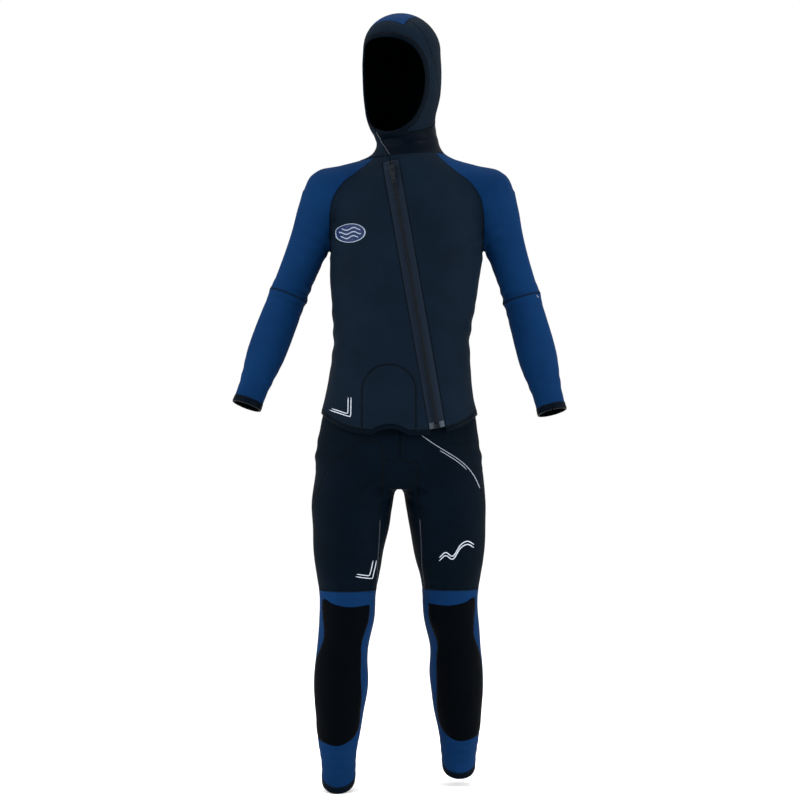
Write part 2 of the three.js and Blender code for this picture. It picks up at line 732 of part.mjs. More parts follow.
node(
  "zip_insertion_pin",
  "tooth",
  zipBar(bottomAngle, bottomAngle + angleOf(10.5), 0.4, SLIT + TOOTH.wide - 0.4, pinLow, pinLow + 3.4, 1),
);
const flapRange = [bottomAngle + angleOf(2), topAngle - angleOf(2), -FLAP_HALF, FLAP_HALF, -40, 20];
const flap = trunkForm(WALL + 0.8).subtract(trunkForm(WALL + 0.8 + FLAP)).intersect(zipBar(...flapRange));
node("zip_underlap", "smooth", flap);

// The slider parks at the top of the closed zip.
const sliderTop = teethTop - angleOf(1.5);
const sliderLow = sliderTop - angleOf(SLIDER.long);
const overTeeth = pinLow + TOOTH.high + SLIDER.gap;
const underTape = TAPE_IN - SLIDER.gap;
const sliderPlate = (half, under, over) => zipBar(sliderLow, sliderTop, -half, half, under, over, 2);
const topPlate = sliderPlate(SLIDER.half, overTeeth, overTeeth + SLIDER.plate);
const bottomPlate = sliderPlate(SLIDER.half - 1.5, underTape - 1.4, underTape);
const post = zipBar(
  sliderTop - angleOf(9),
  sliderTop - angleOf(2),
  -SLIDER.post,
  SLIDER.post,
  underTape - 0.2,
  overTeeth + 0.2,
  1,
);
const flange = (side) => {
  const near = SLIT + TOOTH.wide + SLIDER.gap;
  const [a, b] = side > 0 ? [near, SLIDER.half] : [-SLIDER.half, -near];
  return zipBar(sliderLow, sliderTop, a, b, toothBase + SLIDER.gap, overTeeth + 0.2, 2);
};
const hingeAngle = sliderTop - angleOf(9);
const PULL = { thick: 3.4, root: 1.8, gap: 0.3 }; // the root swings over the slider's plate with this gap
const rootReach = Math.hypot(PULL.thick / 2, PULL.root);
const hingeHeight = overTeeth + SLIDER.plate + rootReach + PULL.gap;
const lugLow = sliderTop - angleOf(12);
const lugHigh = sliderTop - angleOf(6);
const lug = (side) => {
  const [a, b] = side > 0 ? [2.6, 4.2] : [-4.2, -2.6];
  return zipBar(lugLow, lugHigh, a, b, overTeeth + 1, hingeHeight + 1.5, 1);
};
const crossPin = () => {
  const pin = new THREE.CylinderGeometry(0.7, 0.7, 7.4, 12);
  const turn = new THREE.Quaternion().setFromUnitVectors(new THREE.Vector3(0, 1, 0), zipAxis);
  const at = zipPoint(hingeAngle, hingeHeight);
  return solid(pin.applyQuaternion(turn).translate(at.x, at.y, at.z));
};
node(
  "zip_slider",
  "metal",
  union([topPlate, bottomPlate, post, flange(-1), flange(1), lug(-1), lug(1), crossPin()]),
);

// A plate whose pivot hole crosses it from side to side, so that it turns on the cross pin.
function pullSolid() {
  const plate = new THREE.Shape();
  plate.moveTo(-2.1, PULL.root);
  plate.lineTo(-2.1, -8);
  plate.lineTo(-4.2, -13);
  plate.lineTo(-4.2, -31);
  plate.absarc(0, -31, 4.2, Math.PI, 2 * Math.PI, false);
  plate.lineTo(4.2, -13);
  plate.lineTo(2.1, -8);
  plate.lineTo(2.1, PULL.root);
  const eye = new THREE.Path();
  eye.absarc(0, -30, 2, 0, 2 * Math.PI, true);
  plate.holes.push(eye);
  const flat = new THREE.ExtrudeGeometry(plate, { depth: PULL.thick, bevelEnabled: false, curveSegments: 6 });
  flat.translate(0, 0, -PULL.thick / 2);
  const bore = new THREE.CylinderGeometry(1.1, 1.1, 12, 12).rotateZ(Math.PI / 2);
  const cutBack = new THREE.BoxGeometry(12, 40, 4).translate(0, -30, 2.6);
  return solid(flat).subtract(solid(bore)).subtract(solid(cutBack));
}
function placePull() {
  const pullFrame = new THREE.Matrix4();
  const radial = zipPoint(hingeAngle, 1).sub(zipPoint(hingeAngle));
  const along = radial.clone().cross(zipAxis).normalize();
  pullFrame.makeBasis(zipAxis, along.z > 0 ? along : along.negate(), radial);
  const at = zipPoint(hingeAngle, hingeHeight);
  pullFrame.setPosition(at);
  return pullSolid().transform(pullFrame.elements);
}
node("zip_pull", "metal", placePull());

// ---- the trousers' seams ----
const HIP_ARC_RIGHT = smooth(
  [
    [-260, 600],
    [-193, 640],
    [-156, 716],
    [-121, 745],
    [-94, 765],
    [-69, 775],
    [-48, 769],
    [-36, 748],
    [-31, 700],
    [-30, 640],
  ],
  16,
);
const HIP_LINE_LEFT = smooth(
  [
    [12, 808],
    [39, 790],
    [76, 764],
    [133, 727],
    [160, 697],
    [187, 646],
    [230, 590],
  ],
  10,
);
const SEAT_SEAM_Z = 690;
const SIDE_Y = 6; // the trousers' side seam
const GUSSET = { top: 36, knee: 52, low: 447, high: 728 }; // half widths of the inner-leg panel
const SHIN_PAD = [
  [-49, 412],
  [-5, 409],
  [30, 415],
  [53, 422],
  [47, 360],
  [45, 332],
  [54, 290],
  [57, 245],
  [52, 165],
  [44, 120],
  [25, 108],
  [-5, 105],
  [-33, 122],
  [-46, 160],
  [-44, 280],
  [-40, 325],
  [-48, 375],
];

// The x of a leg's middle at a height.
function legX(side, z) {
  const row = LEG.findIndex(([low]) => low <= z);
  const [high, low] = [LEG[row - 1], LEG[row]];
  const share = (high[0] - z) / (high[0] - low[0]);
  return LEG_CENTRE_X + side * (high[1] + (low[1] - high[1]) * share);
}

const ankleCut = (side, lift = 0) => {
  const [y, z] = side < 0 ? [STRIDE.right, ANKLE_Z.right] : [STRIDE.left, ANKLE_Z.left];
  return beyond(new THREE.Vector3(0, y, z + lift), new THREE.Vector3(0, ANKLE_RISE, -1));
};
// The half of the trousers on one side of the middle.
function sideHalf(side) {
  const [left, right] = side > 0 ? [KERF / 2, REACH] : [-REACH, -KERF / 2];
  return box([left, -REACH, -50], [right, REACH, 1200]);
}
const trouserShell = trousersForm(0)
  .subtract(trousersForm(WALL))
  .subtract(box([-REACH, -REACH, WAIST_TOP], [REACH, REACH, 1300]));
const waistSeam = box([-REACH, -REACH, WAIST_TOP - WAISTBAND - KERF], [REACH, REACH, WAIST_TOP - WAISTBAND]);
const bodyPart = trouserShell.subtract(waistSeam);
const waistSpace = box([-REACH, -REACH, WAIST_TOP - WAISTBAND], [REACH, REACH, 1200]);
node("waistband", "smooth", bodyPart.intersect(waistSpace));

const gussetShape = (grow) =>
  prism(
    outline([
      [-GUSSET.top - grow, GUSSET.high + grow],
      [-GUSSET.knee - grow, GUSSET.low],
      [GUSSET.knee + grow, GUSSET.low],
      [GUSSET.top + grow, GUSSET.high + grow],
    ]),
  );
const aboveKnee = (lift) => box([-REACH, -REACH, GUSSET.low - 4 + lift], [REACH, REACH, 1300]);
const upper = bodyPart.subtract(waistSpace).intersect(aboveKnee(KERF));
const gusset = upper.intersect(gussetShape(0));
node("crotch_gusset", "black", gusset);
const aroundGusset = upper.subtract(gussetShape(KERF));
const sideCut = box([-REACH, SIDE_Y - KERF / 2, -50], [REACH, SIDE_Y + KERF / 2, 1300]);
const frontHalf = box([-REACH, -REACH, -50], [REACH, SIDE_Y, 1300]);
const seatSpace = (grow) => box([-REACH, SIDE_Y - grow, SEAT_SEAM_Z - grow], [REACH, REACH, 1300]);
node("seat_panel", "black", aroundGusset.subtract(sideCut).intersect(seatSpace(0)));

const hipShape = {
  right: [...HIP_ARC_RIGHT, [0, 640], [0, 1300], [-260, 1300]],
  left: [...HIP_LINE_LEFT, [260, 590], [260, 1300], [12, 1300]],
};
const frontTop = aroundGusset.intersect(frontHalf).subtract(sideCut);
for (const [name, side] of SIDES) {
  const line = side < 0 ? HIP_ARC_RIGHT : HIP_LINE_LEFT;
  const hip = prism(outline(hipShape[name]), -REACH, REACH);
  const legHalf = sideHalf(side);
  const hipPiece = frontTop.intersect(legHalf).intersect(hip).subtract(seamCut(line));
  node(`hip_panel_${name}`, "black", hipPiece);
  const thigh = aroundGusset
    .subtract(seatSpace(KERF))
    .intersect(legHalf)
    .subtract(hip.intersect(box([-REACH, -REACH, 500], [REACH, SIDE_Y + KERF, 1300])))
    .subtract(seamCut(line, -REACH, SIDE_Y + KERF));
  node(`thigh_panel_${name}`, "black", thigh);
  const lowerLeg = trouserShell
    .subtract(aboveKnee(0))
    .intersect(legHalf)
    .subtract(ankleCut(side, ANKLE_BINDING + KERF));
  node(`lower_leg_${name}`, "blue", lowerLeg);
  const binding = trouserShell
    .intersect(legHalf)
    .intersect(ankleCut(side, ANKLE_BINDING))
    .subtract(ankleCut(side));
  node(`ankle_binding_${name}`, "smooth", binding);
  const padShape = outline(SHIN_PAD.map(([d, z]) => [legX(side, z) + side * d, z]));
  const padSpace = prism(padShape, -REACH, side < 0 ? STRIDE.right / 2 : STRIDE.left);
  const laid = legForm(side, -PAD - RAISED).subtract(legForm(side, -RAISED));
  node(`knee_shin_pad_${name}`, "pad", laid.intersect(padSpace));
}

// ---- piping and prints on the outer face ----
const trousersSkin = (thick) => trousersForm(-thick - RAISED).subtract(trousersForm(-RAISED));
const jacketSkin = (thick) => trunkForm(-thick - RAISED).subtract(trunkForm(-RAISED));
function band(points, wide) {
  const shapes = points.map(([x, z], i) => {
    const [ax, az] = points[Math.max(i - 1, 0)];
    const [bx, bz] = points[Math.min(i + 1, points.length - 1)];
    const length = Math.hypot(bx - ax, bz - az);
    return [x, z, -(bz - az) / length, (bx - ax) / length];
  });
  const side = (s) => shapes.map(([x, z, nx, nz]) => [x + (s * nx * wide) / 2, z + (s * nz * wide) / 2]);
  return outline([...side(1), ...side(-1).reverse()]);
}
const pipingLine = HIP_LINE_LEFT.filter(([x]) => x > 55 && x < 182);
node("hip_piping_left", "print", trousersSkin(PIPING).intersect(prism(band(pipingLine, 3), -REACH, 0)));
const thighMark = smooth(
  [
    [86, 512],
    [100, 524],
    [116, 516],
    [132, 540],
    [148, 548],
    [163, 540],
  ],
  14,
);
node("thigh_print_left", "print", trousersSkin(PRINT).intersect(prism(band(thighMark, 9), -REACH, 0)));
// A right-angled mark with its corner at x, z and one arm to each side.
function chevron(x, z, back, up) {
  const line = [
    [x - back[0], z + back[1]],
    [x, z],
    [x + up[0], z + up[1]],
  ];
  return prism(band(line, 7), -REACH, 0);
}
node(
  "thigh_chevron_right",
  "print",
  trousersSkin(PRINT).intersect(chevron(-64, 470, [38, 13], [8, 40])),
);
node(
  "jacket_chevron_right",
  "print",
  jacketSkin(PRINT).intersect(chevron(-109, 828, [38, 19], [0, 44])),
);
const badge = new THREE.Shape();
badge.absellipse(-109, 1226, 34, 21, 0, 2 * Math.PI, false);
node("chest_badge", "print", jacketSkin(PRINT).intersect(prism(badge, -REACH, 0, 8)));

export default suit;
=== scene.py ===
# A hooded two-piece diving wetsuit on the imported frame. Shapes are worked out in millimetres from the suit's
# body form, cut into panels along their seams, and made in metres.
import json
import math

import bmesh
import bpy
import numpy as np
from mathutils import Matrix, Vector
from mathutils.kdtree import KDTree


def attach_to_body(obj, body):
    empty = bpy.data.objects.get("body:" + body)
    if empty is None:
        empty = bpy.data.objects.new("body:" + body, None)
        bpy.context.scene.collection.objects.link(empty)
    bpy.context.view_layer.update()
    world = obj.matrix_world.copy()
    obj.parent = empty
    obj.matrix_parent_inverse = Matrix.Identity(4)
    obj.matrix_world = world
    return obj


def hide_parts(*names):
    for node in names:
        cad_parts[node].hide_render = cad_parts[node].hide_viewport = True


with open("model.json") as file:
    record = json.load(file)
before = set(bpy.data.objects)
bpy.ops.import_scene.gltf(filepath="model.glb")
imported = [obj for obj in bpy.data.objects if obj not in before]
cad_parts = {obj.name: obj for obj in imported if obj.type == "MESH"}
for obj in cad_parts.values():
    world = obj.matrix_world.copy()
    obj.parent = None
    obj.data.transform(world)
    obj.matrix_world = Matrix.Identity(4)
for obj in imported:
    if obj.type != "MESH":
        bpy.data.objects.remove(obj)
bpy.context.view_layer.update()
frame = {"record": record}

# ---------------------------------------------------------------- sizes, in millimetres
STEP = 4.2  # spacing of the surface mesh
SHEET = 4.6  # thickness of the foam sheet
WALL = 5.0  # the sheet and its rounded edges
FIT = 4.5  # room between the trousers and the jacket over them

ZIP_BOTTOM = np.array([82.0, -108.0, 796.0])
ZIP_TOP = np.array([-22.0, -84.0, 1388.0])
ZIP_BOW = np.array([0.0, -24.0, 0.0])
ZIP_HALF = 18.0  # both tapes together are twice this wide
ZIP_FLAT = 9.0  # the tapes lie flat up to here, then bend to meet the panels

HEAD = np.array([3.0, -4.0, 0.0])
HEAD_TURN = math.radians(26)
HEAD_RIGHT = np.array([math.cos(HEAD_TURN), -math.sin(HEAD_TURN), 0.0])
HEAD_FORWARD = np.array([-math.sin(HEAD_TURN), -math.cos(HEAD_TURN), 0.0])
HEAD_ROUND = 88.0  # mean radius of the hood
FACE_SPREAD = 66.0  # degrees to each side
FACE_Z = 1562.0
FACE_ABOVE = 91.0
FACE_BELOW = 115.0
FACE_SEAL = 9.0
CROWN_HALF = 42.0

SHOULDER_X = 20.0
STRIDE = {"right": -40.0, "left": 35.0}
ANKLE_Z = {"right": 18.0, "left": 37.0}
ANKLE_RISE = 0.45
ANKLE_BINDING = 12.0
WAIST_TOP = 1045.0
WAISTBAND = 26.0
HEM_MIDDLE, HEM_RISE, HEM_HALF = 784.0, 50.0, 178.0
HEM_BAND = 11.0
TRUNK_EDGE = 209.0

TRUNK = [  # height, centre x, half width, y of the back
    (762, -3, 186, 128), (815, -2, 179, 126), (861, -2, 166, 117), (906, 0, 158, 102), (950, 2, 153, 90),
    (995, 3, 150, 84), (1039, 5, 155, 86), (1084, 8, 161, 94), (1128, 10, 166, 104), (1172, 14, 169, 112),
    (1217, 16, 168, 117), (1261, 18, 162, 117), (1306, 19, 148, 110), (1345, 20, 122, 97), (1375, 20, 96, 86),
]
NECK = [  # height, centre x, half width, y of the front, y of the back
    (1402, 20, 77, -77, 80), (1430, 18, 69, -64, 78), (1462, 13, 66, -60, 80), (1500, 8, 62, -50, 80),
]
YOKE = [  # distance from the centre, height, radius up and down, radius front to back
    (0, 1358, 51, 64), (60, 1354, 52, 62), (120, 1338, 53, 58), (176, 1322, 54, 56), (206, 1318, 46, 48),
    (226, 1316, 24, 26), (232, 1315, 6, 6),
]
HOOD = [  # height, half width ear to ear, half depth face to nape, shift towards the face
    (1435, 48, 58, 0), (1457, 61, 78, 2), (1484, 70, 90, 5), (1511, 77, 97, 3), (1537, 82, 102, 1),
    (1564, 84, 104, 0), (1600, 84, 105, -1), (1636, 82, 102, -2), (1660, 82, 102, -2),
]
HOOD_DOME, HOOD_TOP = 1640.0, 1719.0
LEG = [  # height, distance from the centre, half width, centre y, half depth
    (760, 88, 80, 8, 96), (700, 95, 91, 8, 106), (638, 103, 90, 6, 99), (572, 108, 84, 2, 91),
    (505, 113, 75, -2, 81), (430, 114, 62, -4, 70), (372, 116, 61, -4, 67), (315, 125, 57, 4, 62),
    (238, 129, 60, 12, 66), (172, 131, 54, 11, 58), (105, 134, 44, 8, 49), (50, 134, 38, 6, 46),
    (-30, 135, 35, 2, 43),
]
PELVIS = [  # height, centre x, half width, y of the front, y of the back
    (650, -3, 60, -50, 78), (672, -3, 110, -84, 108), (700, -3, 172, -99, 124), (728, -4, 184, -104, 127),
    (752, -4, 183, -105, 126), (772, -4, 180, -104, 124), (795, -3, 175, -101, 121), (830, -2, 168, -98, 117),
]
ARMS = {"right": (-1, 22.6, 19.1), "left": (1, 18.1, 13.7)}
ARM_ROOT = (176.0, 8.0, 1320.0)
UPPER_ARM = 245.0
FOREARM = 268.0
CUFF = 13.0
UPPER_RADII = [(-40, 50), (0, 56), (52, 54), (105, 47), (175, 42), (245, 40.5), (300, 40)]
FOREARM_RADII = [
    (-40, 40), (0, 40.5), (55, 43), (105, 43.5), (150, 42), (195, 36.5), (240, 32.5), (268, 33.2), (300, 34),
]
SIDES = (("right", -1), ("left", 1))


def unit(v):
    """A vector, or each row of vectors, made 1 long."""
    return v / (np.linalg.norm(v) if v.ndim == 1 else np.linalg.norm(v, axis=1)[:, None])


def table(rows):
    """Smooth columns of a table against its first column, sampled every millimetre."""
    rows = np.array(sorted(rows), float)
    at, cols = rows[:, 0], rows[:, 1:]
    slope = np.gradient(cols, at, axis=0)
    fine = np.arange(at[0], at[-1] + 0.5)
    i = np.clip(np.searchsorted(at, fine, side="right") - 1, 0, len(at) - 2)
    h = at[i + 1] - at[i]
    t = ((fine - at[i]) / h)[:, None]
    h = h[:, None]
    out = (
        cols[i] * (2 * t**3 - 3 * t**2 + 1)
        + cols[i + 1] * (3 * t**2 - 2 * t**3)
        + slope[i] * h * (t**3 - 2 * t**2 + t)
        + slope[i + 1] * h * (t**3 - t**2)
    )
    return lambda z: [np.interp(z, fine, out[:, k]) for k in range(out.shape[1])]


# ---------------------------------------------------------------- the zip's arc
chord = ZIP_TOP - ZIP_BOTTOM
zip_along = unit(chord)
zip_out = ZIP_BOW - zip_along * (ZIP_BOW @ zip_along)
bow = np.linalg.norm(zip_out)
zip_out /= bow
zip_radius = (chord @ chord) / (8 * bow) + bow / 2
zip_centre = (ZIP_TOP + ZIP_BOTTOM) / 2 + zip_out * (bow - zip_radius)
zip_half_angle = math.asin(np.linalg.norm(chord) / 2 / zip_radius)
zip_axis = np.cross(zip_along, zip_out)


def zip_point(angle, outwards=0.0, across=0.0):
    angle = np.asarray(angle, float)[..., None]
    radial = zip_out * np.cos(angle) + zip_along * np.sin(angle)
    reach = zip_radius + np.asarray(outwards)[..., None]
    return zip_centre + radial * reach + zip_axis * np.asarray(across)[..., None]


def squareness(z):
    return 2 + 0.4 * np.clip((1380 - z) / 100, 0, 1)


def trunk_front(z, x, half, back):
    """The y of the front that puts the zip's arc on the trunk's face."""
    angle = 0.0
    for _ in range(20):
        angle += (z - zip_point(angle)[2]) / (zip_radius * zip_along[2])
    on_zip = zip_point(angle)
    power = squareness(z)
    reach = (1 - abs((on_zip[0] - x) / half) ** power) ** (1 / power)
    return back - 2 * (back - on_zip[1]) / (1 + reach)


trunk_rows = [(z, x, half, trunk_front(z, x, half, back), back) for z, x, half, back in TRUNK]
trunk_at = table([(700, -3, 188, trunk_rows[0][3], 128)] + trunk_rows + NECK)
yoke_at = table(YOKE)
hood_at = table(HOOD)
leg_at = table(LEG)


# ---------------------------------------------------------------- the body form, as distances in millimetres
def soft_min(a, b, width):
    h = np.clip(0.5 + 0.5 * (b - a) / width, 0, 1)
    return b * (1 - h) + a * h - width * h * (1 - h)


def tube_section(u, v, half_u, half_v, power=2.0):
    """Distance from a superellipse section, good near its edge."""
    a = np.abs(u / half_u) + 1e-6
    b = np.abs(v / half_v) + 1e-6
    k = (a**power + b**power) ** (1 / power)
    slope = np.hypot((a / k) ** (power - 1) / half_u, (b / k) ** (power - 1) / half_v)
    return (k - 1) / slope


def capped(d, z, low, high):
    return np.maximum(d, np.maximum(z - high, low - z))


def girth(rows_at, x, y, z, power):
    """Distance from a body whose sections are given by height."""
    cx, half, front, back = rows_at(z)
    return tube_section(x - cx, y - (front + back) / 2, half, (back - front) / 2, power)


def trunk_form(x, y, z):
    return capped(girth(trunk_at, x, y, z, squareness(z)), z, 740, 1496)


def yoke_form(x, y, z):
    up_z, up, deep = yoke_at(np.abs(x - SHOULDER_X))
    d = tube_section(y - 6, z - up_z, deep, up)
    return np.maximum(d, np.abs(x - SHOULDER_X) - 231)


def about_head(x, y):
    """Distances from the head's centre line to its right and ahead of it."""
    dx, dy = x - HEAD[0], y - HEAD[1]
    return dx * HEAD_RIGHT[0] + dy * HEAD_RIGHT[1], dx * HEAD_FORWARD[0] + dy * HEAD_FORWARD[1]


def hood_form(x, y, z):
    r, f = about_head(x, y)
    half, deep, shift = hood_at(np.clip(z, 1435, HOOD_DOME))
    up = np.maximum(z - HOOD_DOME, 0) / (HOOD_TOP - HOOD_DOME)
    k = np.sqrt((r / half) ** 2 + ((f - shift) / deep) ** 2 + up**2)
    return np.maximum((k - 1) * HEAD_ROUND, 1438 - z)


def arm_axis(name):
    side, splay_up, splay_low = ARMS[name]

    def direction(splay, forward):
        s, f = math.radians(splay), math.radians(forward)
        return np.array([side * math.sin(s), -math.sin(f) * math.cos(s), -math.cos(s) * math.cos(f)])

    upper, lower = direction(splay_up, -2), direction(splay_low, 13)
    shoulder = np.array([SHOULDER_X + side * ARM_ROOT[0], ARM_ROOT[1], ARM_ROOT[2]])
    return shoulder, shoulder + upper * UPPER_ARM, upper, lower


def limb(x, y, z, start, along, length, radii, before=0.0):
    rx, ry, rz = x - start[0], y - start[1], z - start[2]
    t = np.clip(rx * along[0] + ry * along[1] + rz * along[2], -before, length)
    away = np.sqrt((rx - t * along[0]) ** 2 + (ry - t * along[1]) ** 2 + (rz - t * along[2]) ** 2)
    return away - table(radii)(t)[0]


def arm_form(name):
    shoulder, elbow, upper, lower = arm_axis(name)

    def form(x, y, z):
        top = limb(x, y, z, shoulder, upper, UPPER_ARM, UPPER_RADII)
        low = limb(x, y, z, elbow, lower, FOREARM + 30, FOREARM_RADII)
        return soft_min(top, low, 10)

    return form


def leg_form(name):
    side = -1 if name == "right" else 1

    def form(x, y, z):
        away, half, cy, deep = leg_at(z)
        shift = STRIDE[name] * (745 - z) / 745
        d = tube_section(x + 2 - side * away, y - cy - shift, half, deep, 2.06)
        return capped(d, z, -28, 758)

    return form


def pelvis_rows():
    """Above the jacket's hem the trousers keep inside it, and never widen upwards."""
    rows = list(PELVIS)
    right, left, front, rear = -999.0, 999.0, -999.0, 999.0
    for z, x, half, fy, by in trunk_rows:
        if z <= HEM_MIDDLE:
            continue
        right, left = max(right, x - half), min(left, x + half)
        front, rear = max(front, fy), min(rear, by)
        under = WALL + FIT
        if 830 < z < 1100:
            rows.append((z, (left + right) / 2, (left - right) / 2 - under, front + under, rear - under))
    return rows


pelvis_at = table(pelvis_rows())


def pelvis_form(x, y, z):
    return capped(girth(pelvis_at, x, y, z, 2.35), z, 667, 1080)


def jacket_form(x, y, z):
    arms = soft_min(arm_form("right")(x, y, z), arm_form("left")(x, y, z), 1)
    body = soft_min(soft_min(trunk_form(x, y, z), yoke_form(x, y, z), 26), hood_form(x, y, z), 16)
    return soft_min(body, arms, 12)


def trousers_form(x, y, z):
    legs = soft_min(leg_form("right")(x, y, z), leg_form("left")(x, y, z), 8)
    return soft_min(legs, pelvis_form(x, y, z), 16)


# ---------------------------------------------------------------- from form to mesh
def gradient(form, p, h=0.4):
    g = np.empty_like(p)
    for k in range(3):
        step = np.zeros(3)
        step[k] = h
        g[:, k] = (form(*(p + step).T) - form(*(p - step).T)) / (2 * h)
    return g


def onto_form(form, p, rounds=3):
    for _ in range(rounds):
        g = gradient(form, p)
        size = np.maximum((g**2).sum(1), 0.05)
        p = p - g * np.clip(form(*p.T) / size, -4, 4)[:, None]
    return p


def skin(form, low, high):
    """Even triangles over a form's surface (surface nets, then slid along the surface to even them out)."""
    axes = [np.arange(low[k], high[k] + STEP, STEP) for k in range(3)]
    value = form(axes[0][:, None, None], axes[1][None, :, None], axes[2][None, None, :])
    inside = value < 0
    corners = [(i, j, k) for i in (0, 1) for j in (0, 1) for k in (0, 1)]
    nx, ny, nz = (len(a) - 1 for a in axes)
    count = sum(inside[i : i + nx, j : j + ny, k : k + nz].astype(np.int8) for i, j, k in corners)
    cells = np.argwhere((count > 0) & (count < 8))
    number = -np.ones((nx, ny, nz), np.int64)
    number[tuple(cells.T)] = np.arange(len(cells))
    total = np.zeros((len(cells), 3))
    hits = np.zeros(len(cells))
    for a in corners:
        for axis in range(3):
            if a[axis]:
                continue
            b = list(a)
            b[axis] = 1
            va = value[tuple((cells + a).T)]
            vb = value[tuple((cells + b).T)]
            cross = (va < 0) != (vb < 0)
            t = np.where(cross, va / np.where(cross, va - vb, 1), 0)
            at = np.array(a, float) + np.eye(3)[axis] * t[:, None]
            total += at * cross[:, None]
            hits += cross
    p = np.array([a[0] for a in axes]) + (cells + total / hits[:, None]) * STEP
    quads = []
    for axis in range(3):
        u, v = (axis + 1) % 3, (axis + 2) % 3
        first = np.moveaxis(inside, axis, 0)
        change = np.argwhere(first[:-1] != first[1:])
        order = np.argsort([axis] + [k for k in range(3) if k != axis])
        edge = change[:, order]
        inner = (edge > 0) & (edge < (nx, ny, nz))
        edge = edge[inner[:, u] & inner[:, v]]
        du, dv = np.eye(3, dtype=int)[u], np.eye(3, dtype=int)[v]
        ring = [number[tuple((edge - a * du - b * dv).T)] for a, b in ((0, 0), (1, 0), (1, 1), (0, 1))]
        quad = np.stack(ring, 1)
        outward = inside[tuple(edge.T)]
        quad[~outward] = quad[~outward][:, ::-1]
        quads.append(quad)
    quads = np.concatenate(quads)
    tris = np.concatenate([quads[:, [0, 1, 2]], quads[:, [0, 2, 3]]])
    for _ in range(3):
        pairs = np.concatenate([quads[:, [0, 1]], quads[:, [1, 2]], quads[:, [2, 3]], quads[:, [3, 0]]])
        pairs = np.concatenate([pairs, pairs[:, ::-1]])
        near = np.zeros_like(p)
        np.add.at(near, pairs[:, 0], p[pairs[:, 1]])
        valence = np.bincount(pairs[:, 0], minlength=len(p))[:, None]
        p = onto_form(form, 0.4 * p + 0.6 * near / valence, 2)
    p = onto_form(form, p, 3)
    return p, unit(gradient(form, p, 1.5)), tris


class Cloth:
    """A piece of the skin: points, outward normals and triangles."""

    def __init__(self, p, n, f):
        used, f = np.unique(f, return_inverse=True)
        self.p, self.n, self.f = p[used], n[used], f.reshape(-1, 3)

    def split(self, field):
        """(where the field is positive, where it is negative), cut along its zero line."""
        s = field(*self.p.T)
        s = np.where(np.abs(s) < 0.25, 0.0, s)
        p, n, f = self.p, self.n, self.f
        side = np.sign(s).astype(int)
        fs = side[f]
        pos = (fs.max(1) > 0) & (fs.min(1) >= 0)
        neg = fs.max(1) <= 0
        mixed = ~pos & ~neg
        keep_pos, keep_neg = [f[pos]], [f[neg]]
        m = f[mixed]
        if len(m):
            pairs = np.concatenate([m[:, [0, 1]], m[:, [1, 2]], m[:, [2, 0]]])
            crossing = side[pairs[:, 0]] * side[pairs[:, 1]] < 0
            pairs = np.unique(np.sort(pairs[crossing], axis=1), axis=0)
            t = (s[pairs[:, 0]] / (s[pairs[:, 0]] - s[pairs[:, 1]]))[:, None]
            new_p = p[pairs[:, 0]] * (1 - t) + p[pairs[:, 1]] * t
            new_n = unit(n[pairs[:, 0]] * (1 - t) + n[pairs[:, 1]] * t)
            size = len(p) + 1
            keys = pairs[:, 0] * size + pairs[:, 1]

            def middle(a, b):
                low, high = np.minimum(a, b), np.maximum(a, b)
                return len(p) + np.searchsorted(keys, low * size + high)

            ms = side[m]
            zero = (ms == 0).any(1)
            for sign in (1, -1):
                for lone in range(3):
                    a, b, c = m[:, lone], m[:, (lone + 1) % 3], m[:, (lone + 2) % 3]
                    sa, sb, sc = ms[:, lone], ms[:, (lone + 1) % 3], ms[:, (lone + 2) % 3]
                    case = ~zero & (sa == sign) & (sb == -sign) & (sc == -sign)
                    x, y, z = a[case], b[case], c[case]
                    xy, xz = middle(x, y), middle(x, z)
                    one, two = (keep_pos, keep_neg) if sign > 0 else (keep_neg, keep_pos)
                    one.append(np.stack([x, xy, xz], 1))
                    two.append(np.stack([xy, y, z], 1))
                    two.append(np.stack([xy, z, xz], 1))
                    case = (sa == 0) & (sb == sign) & (sc == -sign)
                    x, y, z = a[case], b[case], c[case]
                    yz = middle(y, z)
                    one.append(np.stack([x, y, yz], 1))
                    two.append(np.stack([x, yz, z], 1))
            p, n = np.concatenate([p, new_p]), np.concatenate([n, new_n])
        return Cloth(p, n, np.concatenate(keep_pos)), Cloth(p, n, np.concatenate(keep_neg))

    def finer(self):
        """Each triangle in four."""
        pairs = np.sort(np.concatenate([self.f[:, [0, 1]], self.f[:, [1, 2]], self.f[:, [2, 0]]]), axis=1)
        pairs, back = np.unique(pairs, axis=0, return_inverse=True)
        back = back.reshape(-1)
        m = len(self.f)
        ab, bc, ca = (len(self.p) + back[k * m : (k + 1) * m] for k in range(3))
        a, b, c = self.f.T
        p = np.concatenate([self.p, self.p[pairs].mean(1)])
        n = unit(np.concatenate([self.n, self.n[pairs].mean(1)]))
        f = np.concatenate([np.stack(t, 1) for t in ((a, ab, ca), (ab, b, bc), (ca, bc, c), (ab, bc, ca))])
        return Cloth(p, n, f)

    def rim(self):
        """Edges on the outline, in the order that their triangle goes round."""
        edges = np.concatenate([self.f[:, [0, 1]], self.f[:, [1, 2]], self.f[:, [2, 0]]])
        _, first, count = np.unique(np.sort(edges, axis=1), axis=0, return_index=True, return_counts=True)
        return edges[first[count == 1]]

    def from_rim(self, far=30.0):
        """Distance of each point from the outline."""
        edges = self.rim()
        a, b = self.p[edges[:, 0]], self.p[edges[:, 1]]
        dots = np.concatenate([a + (b - a) * t for t in (0, 0.25, 0.5, 0.75)])
        tree = KDTree(len(dots))
        for i, q in enumerate(dots):
            tree.insert(q, i)
        tree.balance()
        d = np.array([tree.find(q)[2] for q in self.p])
        d[np.unique(edges)] = 0
        return np.minimum(d, far)


